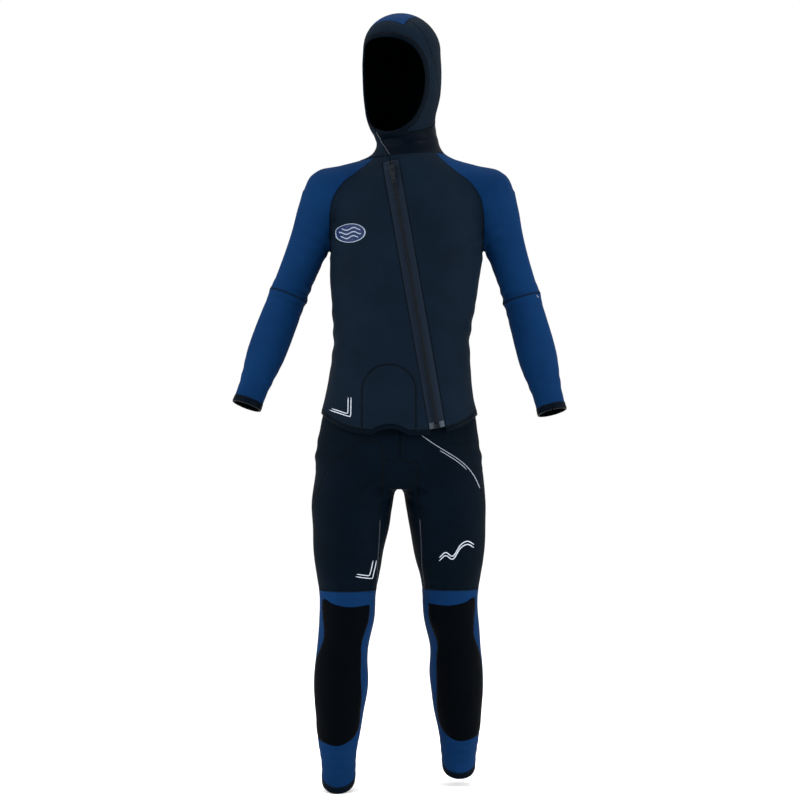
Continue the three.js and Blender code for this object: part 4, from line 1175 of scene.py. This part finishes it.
# ---------------------------------------------------------------- the trousers' panels
HIP_FIELDS = {"right": beside(HIP_ARC_RIGHT), "left": beside(HIP_LINE_LEFT)}
GUSSET_TOP, GUSSET_PALE = 728, 600  # above the second height its seam is sewn in dark thread


def gusset_field(x, y, z):
    half = np.interp(z, [447, GUSSET_TOP], [52, 36])
    return np.minimum(half - np.abs(x), GUSSET_TOP - z)


def seat_field(x, y, z):
    return np.minimum(y - 6, z - 690)


knee_plane = plane((0, 0, 443), (0, 0, 1))
waist_plane = plane((0, 0, WAIST_TOP - WAISTBAND), (0, 0, 1))
thighs, shins = trousers.split(knee_plane)
waist, thighs = thighs.split(waist_plane)
gusset, thighs = thighs.split(gusset_field)
seat, thighs = thighs.split(seat_field)
panel("waistband", waist, SMOOTH_SKIN, trousers_rise, round_trunk)
panel("crotch_gusset", gusset, SHADED_BLACK_JERSEY, trousers_rise, round_trunk)
panel("seat_panel", seat, SHADED_BLACK_JERSEY, trousers_rise, round_trunk)
middle = plane((0, 0, 0), (1, 0, 0))
SEAMS += [
    (gusset, [lambda x, y, z: np.where(z > GUSSET_PALE, gusset_field(x, y, z), 9.0)], trousers_rise, 0.0),
    (seat, [seat_field], trousers_rise, 0.0),
    (waist, [waist_plane], trousers_rise, 0.0),
]
INNER_LEG = [(gusset, [lambda x, y, z: np.where(z > GUSSET_PALE, 9.0, gusset_field(x, y, z))], trousers_rise, 0.35)]
thigh_halves = dict(zip(("left", "right"), thighs.split(middle)))
shin_halves = dict(zip(("left", "right"), shins.split(middle)))
for name, side in SIDES:
    hip, thigh = thigh_halves[name].split(lambda x, y, z: np.minimum(HIP_FIELDS[name](x, y, z), 6 - y))
    shin = shin_halves[name].split(ankle_plane(name))[1]
    binding, shin = shin.split(ankle_plane(name, ANKLE_BINDING))
    panel(f"hip_panel_{name}", hip, SHADED_BLACK_JERSEY, trousers_rise, round_trunk)
    panel(f"thigh_panel_{name}", thigh, SHADED_BLACK_JERSEY, trousers_rise, ROUND_LEG[name])
    panel(f"lower_leg_{name}", shin, BLUE_JERSEY, trousers_rise, ROUND_LEG[name])
    panel(f"ankle_binding_{name}", binding, SMOOTH_SKIN, trousers_rise, ROUND_LEG[name], 0.4, 1.0)
    SEAMS += [
        (hip, [HIP_FIELDS[name]], trousers_rise, 0.0),
        (thigh, [knee_plane], trousers_rise, 0.0),
        (binding, [ankle_plane(name, ANKLE_BINDING)], trousers_rise, 0.4),
    ]

# ---------------------------------------------------------------- knee pads
PAD_REAR = {"right": 0.5, "left": 0.8}
for name, side in SIDES:
    outline = [(leg_x(side, z) + side * d, z) for d, z in SHIN_PAD]
    near = trousers.split(plane((0, 0, 95), (0, 0, 1)))[0].split(plane((0, 0, 432), (0, 0, 1)))[1]
    near = near.split(plane((0, STRIDE[name] * PAD_REAR[name], 0), (0, -1, 0)))[0]
    near = near.split(plane((0, 0, 0), (side, 0, 0)))[0].finer()
    panel(
        f"knee_shin_pad_{name}", near.split(inside_outline(outline))[0], PAD_RUBBER, trousers_rise, ROUND_LEG[name],
        2.6, 1.7, PAD_RUBBER, 2.2, 3.0,
    )


# ---------------------------------------------------------------- prints and piping
def double_chevron(corner, back, up, apart=(-6.2, 6.8)):
    """A mark of two arms with a rounded corner, drawn twice, one inside the other, as front-view lines."""
    lines = []
    for k in (0, 1):
        turn = np.array(corner, float) + np.array(apart) * k
        low = turn + np.array(back) * (1 - 0.24 * k)
        high = turn + np.array(up) * (1 - 0.16 * k)
        bend = [turn + (low - turn) * 0.12, turn + (low + high - 2 * turn) * 0.02, turn + (high - turn) * 0.12]
        lines.append(np.array([low, *bend, high]))
    return lines


hip_line = HIP_LINE_LEFT[(HIP_LINE_LEFT[:, 0] > 44) & (HIP_LINE_LEFT[:, 0] < 176)]
inner_line = hip_line[(hip_line[:, 0] > 84) & (hip_line[:, 0] < 150)] - (3.2, 4.0)
wave = smooth_line([(86, 512), (100, 524), (116, 516), (132, 540), (148, 548), (163, 540)])
on_thigh, on_hem = double_chevron((-60, 469), (-37, 7), (8, 40)), double_chevron((-107, 824), (-47, 15), (1, 43))
for node, form, lines, width, rise, look, lift, height in (
    ("hip_piping_left", trousers_form, [hip_line, inner_line], 1.7, trousers_rise, PIPING, 0.1, 0.8),
    ("thigh_print_left", trousers_form, [wave + (0, 3.4), wave - (0, 3.4)], 2.4, trousers_rise, FILM, 0.3, 0.5),
    ("thigh_chevron_right", trousers_form, on_thigh, 2.1, trousers_rise, FILM, 0.3, 0.5),
    ("jacket_chevron_right", jacket_form, on_hem, 2.1, jacket_rise, FILM, 0.3, 0.5),
):
    settle(strips(node, form, lines, width, rise, look, lift, height), node)

BADGE_X, BADGE_Z, BADGE_HALF_X, BADGE_HALF_Z = -109, 1226, 34, 21


def badge_share(x, z):
    return (x - BADGE_X) / BADGE_HALF_X, (z - BADGE_Z) / BADGE_HALF_Z


def badge_chart(p):
    across, up = badge_share(p[:, 0], p[:, 2])
    return np.stack([across, up * 1000], 1), 1000.0


patch = uncut_jacket.split(lambda x, y, z: np.minimum(44 - np.hypot(x - BADGE_X, z - BADGE_Z), -y))[0]
patch = patch.finer().finer().split(lambda x, y, z: 26 * (1 - np.hypot(*badge_share(x, z))))[0]
panel("chest_badge", patch, BADGE, jacket_rise, badge_chart, 1.2, 0.4, BADGE, 0.9, 0.8)

# ---------------------------------------------------------------- the zip
def mm(length):
    """The angle that a length along the zip takes."""
    return length / zip_radius


SLIT, TOOTH_WIDE, TOOTH_HIGH, TAPE_THICK, TAPE_IN = 1.0, 3.0, 3.4, 1.2, -2.0
TOP_ANGLE = zip_half_angle - mm(4)
BOTTOM_ANGLE = -TOP_ANGLE
TEETH_TOP = TOP_ANGLE - mm(9)
TEETH_BOTTOM = BOTTOM_ANGLE + mm(12)
TAPE_FACE = TAPE_IN + TAPE_THICK
ON_TAPE = TAPE_FACE + 0.3
TOOTH_PITCH = 4.0


def zip_rise(angle, across):
    """How far the jacket's face stands off the arc's plane, so that the tapes bend to meet the panels."""
    sign = np.where(across < 0, -1.0, 1.0)
    edge = zip_point(angle, 0.0, sign * ZIP_HALF)
    flat = edge.reshape(-1, 3)
    face = on_front(jacket_form, flat[:, [0, 2]], lambda p: np.zeros(len(p)), 0.0)
    share = np.clip((np.abs(across) - ZIP_FLAT) / (ZIP_HALF - ZIP_FLAT), 0, 1)
    return (flat[:, 1] - face[:, 1]).reshape(edge.shape[:-1]) * share


def zip_strip(angles, profile, bent=False):
    """Points, faces and map of a closed bar along the zip. The profile is (across, height off the arc)."""
    angle = np.repeat(np.asarray(angles)[:, None], len(profile), 1)
    across, up = (np.repeat(np.array(profile, float)[None, :, k], len(angles), 0) for k in (0, 1))
    if bent:
        up = up + zip_rise(angle, across)
    grid = zip_point(angle, up, across)
    flat = np.stack([across, (angle - BOTTOM_ANGLE) * zip_radius], -1).reshape(-1, 2)
    return grid.reshape(-1, 3), loft(*grid.shape[:2]), flat


def box(low_angle, high_angle, a, b, under, over, steps=2, side=1):
    """A bar of the zip with a square section, from a to b across."""
    section = [(side * x, up) for x, up in ((a, under), (a, over), (b, over), (b, under))]
    return zip_strip(np.linspace(low_angle, high_angle, steps), section)


def strip_piece(node, look, parts, bevel=0.0, segments=2, smooth=False):
    """One piece from bars along the zip, with its edges rounded."""
    points, faces = joined(parts)
    made = build_mesh(node, points, faces, [look], smooth)
    outward(made)
    flat = np.concatenate([m for _, _, m in parts])
    uv = made.data.uv_layers.new(name="cloth")
    uv.data.foreach_set("uv", (flat[read(made.data.loops, "vertex_index")] / 1000).ravel())
    settle(made, node)
    if bevel:
        edges = made.modifiers.new("edges", "BEVEL")
        edges.width = bevel / 1000
        edges.segments = segments
        edges.limit_method = "ANGLE"
        edges.harden_normals = False
        applied(made, edges)


along_zip = np.linspace(BOTTOM_ANGLE, TOP_ANGLE, 100)
for name, side in SIDES:
    rim = [
        (SLIT, TAPE_IN), (SLIT, TAPE_FACE + 0.5), (SLIT + 1.6, TAPE_FACE + 0.5), (SLIT + 2.4, TAPE_FACE),
        (ZIP_FLAT, TAPE_FACE), (13, TAPE_FACE), (15, TAPE_FACE + 0.35), (ZIP_HALF - 0.4, TAPE_FACE),
        (ZIP_HALF - 0.4, TAPE_IN), (ZIP_FLAT, TAPE_IN),
    ]
    tape = zip_strip(along_zip, [(side * a, up) for a, up in rim], True)
    strip_piece(f"zip_tape_{name}", TAPE, [tape], smooth=True)
    tooth_end = SLIT + TOOTH_WIDE
    stop = box(TEETH_TOP + mm(1), TEETH_TOP + mm(6), SLIT, tooth_end, ON_TAPE, ON_TAPE + TOOTH_HIGH, side=side)
    strip_piece(f"zip_top_stop_{name}", METAL, [stop], 0.7)
    inner, outer, low = tooth_end + 1.5, ZIP_HALF - 1.5, TAPE_FACE + 0.6
    high = low + 0.8
    film = [(inner, low), (inner, high), (ZIP_FLAT, high), (outer, high), (outer, low), (ZIP_FLAT, low)]
    ends = np.linspace(BOTTOM_ANGLE + mm(0.5), BOTTOM_ANGLE + mm(14), 5)
    strip_piece(f"zip_end_tab_{name}", END_FILM, [zip_strip(ends, [(side * a, up) for a, up in film], True)], 0.35)

for node, a, b, high, bevel in (
    ("zip_retainer_box", -SLIT - TOOTH_WIDE - 1, -0.4, 4.4, 0.8),
    ("zip_insertion_pin", 0.4, SLIT + TOOTH_WIDE - 0.4, 3.4, 0.6),
):
    end = box(BOTTOM_ANGLE, BOTTOM_ANGLE + mm(10.5), a, b, ON_TAPE, ON_TAPE + high)
    strip_piece(node, TOOTH, [end], bevel)


def flap_field(x, y, z):
    ends = (TOP_ANGLE - mm(2) - np.abs(zip_angle(x, y, z))) * zip_radius
    return in_front(y, np.minimum(30 - np.abs(zip_across(x, y, z)), ends))


flap = uncut_jacket.split(flap_field)[0]
panel("zip_underlap", flap, SMOOTH_SKIN, jacket_rise, round_trunk, -6.2, 0.3, SMOOTH_SKIN, 2.3)


# ---------------------------------------------------------------- what repeats: zip teeth and stitches
def repeat_tree(name):
    """Sets a copy of a shape on every point of a guide, turned by the point's own angles."""
    tree = bpy.data.node_groups.new(name, "GeometryNodeTree")
    for label, kind in (
        ("Guide", "Geometry"), ("Shape", "Object"), ("Size", "Float"), ("Wobble", "Float"), ("Finish", "Material"),
    ):
        tree.interface.new_socket(label, in_out="INPUT", socket_type="NodeSocket" + kind)
    tree.interface.new_socket("Result", in_out="OUTPUT", socket_type="NodeSocketGeometry")
    given = add(tree, "NodeGroupInput").outputs
    turn = add(tree, "GeometryNodeInputNamedAttribute", {"data_type": "FLOAT_VECTOR", "Name": "turn"})
    shape = add(tree, "GeometryNodeObjectInfo", {}, {"Object": given["Shape"]}).outputs["Geometry"]
    below = add(tree, "Math", {"operation": "MULTIPLY", 1: -1.0}, {0: given["Wobble"]})
    loose = add(tree, "FunctionNodeRandomValue", {"data_type": "FLOAT", "Seed": 7}, {2: below, 3: given["Wobble"]})
    parts = {0: loose.outputs[1], 1: given["Size"], 2: given["Size"]}
    size = add(tree, "Math", {"operation": "MULTIPLY_ADD"}, parts)
    place = add(tree, "GeometryNodeInstanceOnPoints", {}, {"Points": given["Guide"], "Instance": shape})
    angles = add(tree, "FunctionNodeEulerToRotation", {}, {0: turn.outputs["Attribute"]})
    tree.links.new(angles.outputs[0], place.inputs["Rotation"])
    tree.links.new(size.outputs[0], place.inputs["Scale"])
    real = add(tree, "GeometryNodeRealizeInstances", {}, {0: place})
    finish = add(tree, "GeometryNodeSetMaterial", {}, {"Geometry": real, "Material": given["Finish"]})
    add(tree, "NodeGroupOutput", {}, {0: finish})
    return tree


REPEAT = repeat_tree("repeat_along_seam")


def euler_rows(x_axis, z_axis):
    """Angles that turn X and Z onto the given directions, one row each."""
    x = unit(x_axis)
    z = unit(z_axis - x * (z_axis * x).sum(1)[:, None])
    y = np.cross(z, x)
    ry = -np.arcsin(np.clip(x[:, 2], -1, 1))
    return np.stack([np.arctan2(y[:, 2], z[:, 2]), ry, np.arctan2(x[:, 1], x[:, 0])], 1)


def repeated(name, at, x_axis, z_axis, shape, look, wobble=0.0):
    """One mesh of copies of a shape, at points given in millimetres."""
    made = show(name, mesh_of(name, at, []))
    turn = made.data.attributes.new("turn", "FLOAT_VECTOR", "POINT")
    turn.data.foreach_set("vector", euler_rows(x_axis, z_axis).ravel())
    nodes = made.modifiers.new("repeat", "NODES")
    nodes.node_group = REPEAT
    sockets = {s.name: s.identifier for s in REPEAT.interface.items_tree if s.in_out == "INPUT"}
    for key, value in (("Shape", shape), ("Size", 1.0), ("Wobble", wobble), ("Finish", look)):
        nodes[sockets[key]] = value
    made.update_tag()
    applied(made, nodes)
    made.data.polygons.foreach_set("use_smooth", np.ones(len(made.data.polygons), bool))
    return made


def small_shape(name, points, faces):
    """A small closed shape, kept out of the scene, for Geometry Nodes to copy."""
    kept = bpy.data.objects.new(name, mesh_of(name, points, faces))
    outward(kept)
    return kept


def rounded_bar(length, wide, high):
    """A short bar with rounded ends along X, 6 sides round."""
    points = []
    for at, size in ((-0.5, 0.35), (-0.42, 0.85), (0.0, 1.0), (0.42, 0.85), (0.5, 0.35)):
        for k in range(6):
            a = math.pi / 3 * (k + 0.5)
            points.append((at * length, wide / 2 * size * math.cos(a), high / 2 * size * math.sin(a)))
    return points, loft(5, 6, True)


def tooth_points():
    """One tooth: a block on the tape with a narrower head over the slit, in 6 rings of 6."""
    points = []
    for x, half, high in (
        (-2.0, 1.0, 1.5), (-1.2, 1.25, 1.7), (1.0, 1.25, 1.7), (1.7, 0.8, 1.5), (2.6, 0.95, 1.45), (3.0, 0.6, 1.1),
    ):
        points += [(x, -half, -high), (x, half, -high), (x, half, high * 0.8)]
        points += [(x, half * 0.6, high), (x, -half * 0.6, high), (x, -half, high * 0.8)]
    return points


tooth = small_shape("one_tooth", tooth_points(), loft(6, 6, True))
for name, side in SIDES:
    angle = np.arange(TEETH_BOTTOM + mm(1.5 if side > 0 else 3.5), TEETH_TOP - mm(1), mm(TOOTH_PITCH))
    at = zip_point(angle, ON_TAPE + TOOTH_HIGH / 2, np.full(len(angle), side * 2.4))
    inwards = np.repeat(-side * zip_axis[None], len(angle), 0)
    outwards = zip_out * np.cos(angle)[:, None] + zip_along * np.sin(angle)[:, None]
    settle(repeated(f"zip_teeth_{name}", at, inwards, outwards, tooth, TOOTH), f"zip_teeth_{name}")


def chains(cloth, fields, tolerance=0.6):
    """Runs of outline points that lie on the given seams, in order."""
    edges = cloth.rim()
    close = np.zeros(len(cloth.p), bool)
    used = np.unique(edges)
    for field in fields:
        close[used] |= np.abs(field(*cloth.p[used].T)) < tolerance
    left = {a: b for a, b in edges if close[a] and close[b]}
    followers = set(left.values())
    runs = []
    for start in [a for a in left if a not in followers] + list(left):
        if start not in left:
            continue
        run = [start]
        while run[-1] in left:
            run.append(left.pop(run[-1]))
        if len(run) > 3:
            runs.append(np.array(run))
    return runs


STITCH_PITCH, STITCH_TILT, STITCH_WOBBLE = 3.4, 0.45, 0.12


def stitch_rows(seams):
    """Places for threads that cross the seams in a zigzag, with the directions along and out of each."""
    rows = []
    for cloth, fields, folds, lift in seams:
        for run in chains(cloth, fields):
            n = cloth.n[run]
            p = cloth.p[run] + n * (folds(cloth.p[run]) + lift - 0.62)[:, None]
            places = np.arange(STITCH_PITCH / 2, run_of(p)[-1], STITCH_PITCH)
            if len(places) < 2:
                continue
            q = resample(p, places)
            n = np.stack([np.interp(places, run_of(p), n[:, k]) for k in range(3)], 1)
            ahead = np.gradient(q, axis=0)
            ahead /= np.linalg.norm(ahead, axis=1)[:, None] + 1e-9
            turn = np.where(np.arange(len(q)) % 2, STITCH_TILT, -STITCH_TILT)[:, None]
            rows.append((q + n * 0.35, np.cross(n, ahead) + ahead * turn, n))
    return [np.concatenate(column) for column in zip(*rows)]


stitch = small_shape("one_stitch", *rounded_bar(5.2, 0.75, 0.6))
for name, body, seams, look in (
    ("jacket_seam_stitches", "jacket", [s for s in SEAMS if s[2] is jacket_rise], THREAD),
    ("trousers_seam_stitches", "trousers", [s for s in SEAMS if s[2] is trousers_rise], THREAD),
    ("inner_leg_stitches", "trousers", INNER_LEG, PALE_THREAD),
):
    attach(repeated(name, *stitch_rows(seams), stitch, look, STITCH_WOBBLE), body)

lapel_edge = LAPEL[(LAPEL[:, 1] < 1455) & (LAPEL[:, 1] > 1396)] + (1.5, 0)
tack = [(303, 1094), (309, 1088)]
attach(strips("lapel_edge_binding", jacket_form, [lapel_edge], 2.0, jacket_rise, END_FILM, 0.6, 0.6), "jacket")
attach(strips("sleeve_bar_tack", jacket_form, [tack], 1.8, jacket_rise, PIPING, 0.1, 0.6), "jacket")

# ---------------------------------------------------------------- slider and pull
SLIDER_TOP = TEETH_TOP - mm(1.5)
SLIDER_LOW = SLIDER_TOP - mm(26)
OVER = ON_TAPE + TOOTH_HIGH + 0.6
UNDER = TAPE_IN - 0.6
PLATE = 1.8
HINGE_HEIGHT = OVER + PLATE + math.hypot(1.7, 1.8) + 0.3
HINGE_ANGLE = SLIDER_TOP - mm(9)
hinge = zip_point(HINGE_ANGLE, HINGE_HEIGHT)
radial = zip_out * math.cos(HINGE_ANGLE) + zip_along * math.sin(HINGE_ANGLE)
down_zip = np.cross(radial, zip_axis)
down_zip = down_zip if down_zip[2] < 0 else -down_zip


def shield(under, over, wide, waist, steps=13):
    """A slider plate: wide shoulders at the top where the rows part, narrowing to the mouth below."""
    share = np.linspace(0, 1, steps)
    half = waist + (wide - waist) * np.clip((share - 0.25) / 0.5, 0, 1)
    half *= np.sqrt(np.clip(1 - ((share - 0.5) / 0.52) ** 8, 0.2, 1))
    rows = [box(a, a, -h, h, under, over, 1) for a, h in zip(np.linspace(SLIDER_LOW, SLIDER_TOP, steps), half)]
    points, flat = (np.concatenate([row[k] for row in rows]) for k in (0, 2))
    return points, loft(steps, 4), flat


def round_bar(centre, axis, radius, length, sides=16):
    """A closed round bar about an axis."""
    u = unit(np.cross(axis, radial if abs(axis @ radial) < 0.9 else down_zip))
    v = np.cross(axis, u)
    points = []
    for end, size in ((-0.5, 0.8), (-0.42, 1.0), (0.42, 1.0), (0.5, 0.8)):
        for k in range(sides):
            t = 2 * math.pi * k / sides
            points.append(centre + axis * end * length + (u * math.cos(t) + v * math.sin(t)) * radius * size)
    return np.array(points), loft(4, sides, True), np.zeros((len(points), 2))


slider_bars = [
    shield(OVER, OVER + PLATE, 7.5, 6.4),
    shield(UNDER - 1.4, UNDER, 6.0, 5.2),
    box(SLIDER_TOP - mm(9), SLIDER_TOP - mm(2), -0.6, 0.6, UNDER - 0.2, OVER + 0.2),
]
for side in (-1, 1):
    near, far = sorted((side * 4.6, side * 6.2))
    slider_bars.append(box(SLIDER_LOW + mm(1), SLIDER_TOP - mm(4), near, far, TAPE_FACE + 0.6, OVER + 0.2, 4))
    near, far = sorted((side * 2.6, side * 4.2))
    slider_bars.append(box(SLIDER_TOP - mm(12), SLIDER_TOP - mm(6), near, far, OVER + 1.5, HINGE_HEIGHT + 1.5))
slider_bars.append(round_bar(hinge, zip_axis, 0.7, 7.4))
strip_piece("zip_slider", METAL, slider_bars, 0.45, 3)


def pull_plate():
    """The pull's flat grip with its eye, cut from sheet with rounded edges."""
    rim = [(-2.1, -1.8), (-2.1, 8), (-4.2, 13), (-4.2, 31)]
    rim += [(4.2 * math.cos(math.pi - t), 31 + 4.2 * math.sin(t)) for t in np.linspace(0, math.pi, 13)[1:-1]]
    rim += [(4.2, 31), (4.2, 13), (2.1, 8), (2.1, -1.8)]
    eye = [(2.0 * math.cos(t), 30 + 2.0 * math.sin(t)) for t in np.linspace(0, 2 * math.pi, 17)[:-1]]
    curve = bpy.data.curves.new("pull_outline", "CURVE")
    curve.dimensions = "2D"
    curve.fill_mode = "BOTH"
    for ring in (rim, eye):
        spline = curve.splines.new("POLY")
        spline.points.add(len(ring) - 1)
        for point, (x, y) in zip(spline.points, ring):
            point.co = (x, y, 0, 1)
        spline.use_cyclic_u = True
    curve.extrude = 1.0
    curve.bevel_depth = 0.15
    curve.bevel_resolution = 1
    source = show("pull_outline", curve)
    flat = bpy.data.meshes.new_from_object(source.evaluated_get(bpy.context.evaluated_depsgraph_get()))
    bpy.data.objects.remove(source)
    points, faces = np.array([v.co[:] for v in flat.vertices]), [tuple(f.vertices) for f in flat.polygons]
    bpy.data.meshes.remove(flat)
    return points, faces


# A cast pull: a round root on the cross pin, a waist, and a long grip with an eye and raised bars.
pull_parts = [pull_plate()]
for y in (15.5, 18.5, 21.5):
    ridge, ridge_faces = rounded_bar(5.6, 1.1, 0.9)
    pull_parts.append((np.array(ridge) + (0, y, 1.1), ridge_faces))
pull_parts.append(round_bar(np.zeros(3), np.array([1.0, 0, 0]), 1.7, 4.1))
p, faces = joined(pull_parts)
p = hinge + p[:, :1] * zip_axis + p[:, 1:2] * down_zip + (p[:, 2:] - 0.55) * radial
pull = build_mesh("zip_pull", p, faces, [METAL], False)
outward(pull, weld=True)
settle(pull, "zip_pull")


# ---------------------------------------------------------------- floor, light and camera
def floor(radius=16.0, drop=0.0006):
    """A wide, flat, pale paper floor that can be seen from every side."""
    ring = [(radius * math.cos(t), radius * math.sin(t), -drop) for t in np.linspace(0, 2 * math.pi, 97)[:-1]]
    mesh = bpy.data.meshes.new("floor")
    mesh.from_pydata(ring, [], [tuple(range(len(ring)))])
    paper = {"Base Color": srgb("#ffffff"), "Roughness": 0.95, "Specular IOR Level": 0.1}
    mesh.materials.append(material("matt_white_paper", [], {}, paper))
    show("floor", mesh)


def softbox(name, place, aim, size, power):
    lamp = bpy.data.lights.new(name, "AREA")
    lamp.shape = "RECTANGLE"
    lamp.size, lamp.size_y = size
    lamp.energy = power
    made = show(name, lamp)
    made.location = place
    made.rotation_euler = (Vector(aim) - Vector(place)).to_track_quat("-Z", "Y").to_euler()


floor()
softbox("key_softbox", (-2.2, -2.6, 3.2), (0, 0, 1.0), (1.8, 1.8), 66)
softbox("fill_softbox", (2.6, -2.4, 1.8), (0, 0, 0.9), (1.6, 2.2), 36)
softbox("top_softbox", (0.2, 0.4, 3.6), (0, 0, 0.8), (2.4, 1.6), 60)
softbox("side_left", (-2.8, -0.7, 1.2), (0, 0, 1.0), (1.0, 2.4), 52)
softbox("side_right", (2.8, -0.7, 1.3), (0, 0, 1.0), (1.0, 2.4), 62)
scene = bpy.context.scene
world = bpy.data.worlds.new("studio")
world.use_nodes = True
sky = world.node_tree.nodes["Background"].inputs
sky[0].default_value = srgb("#ffffff")
sky[1].default_value = 1.0
scene.world = world
scene.view_settings.view_transform = "Standard"

lens = bpy.data.cameras.new("camera")
lens.lens = 91.0
lens.sensor_width = 36.0
camera = show("camera", lens)
camera.location = (0.0, -4.5, 0.861)
camera.rotation_euler = (math.radians(90), 0, 0)
scene.camera = camera
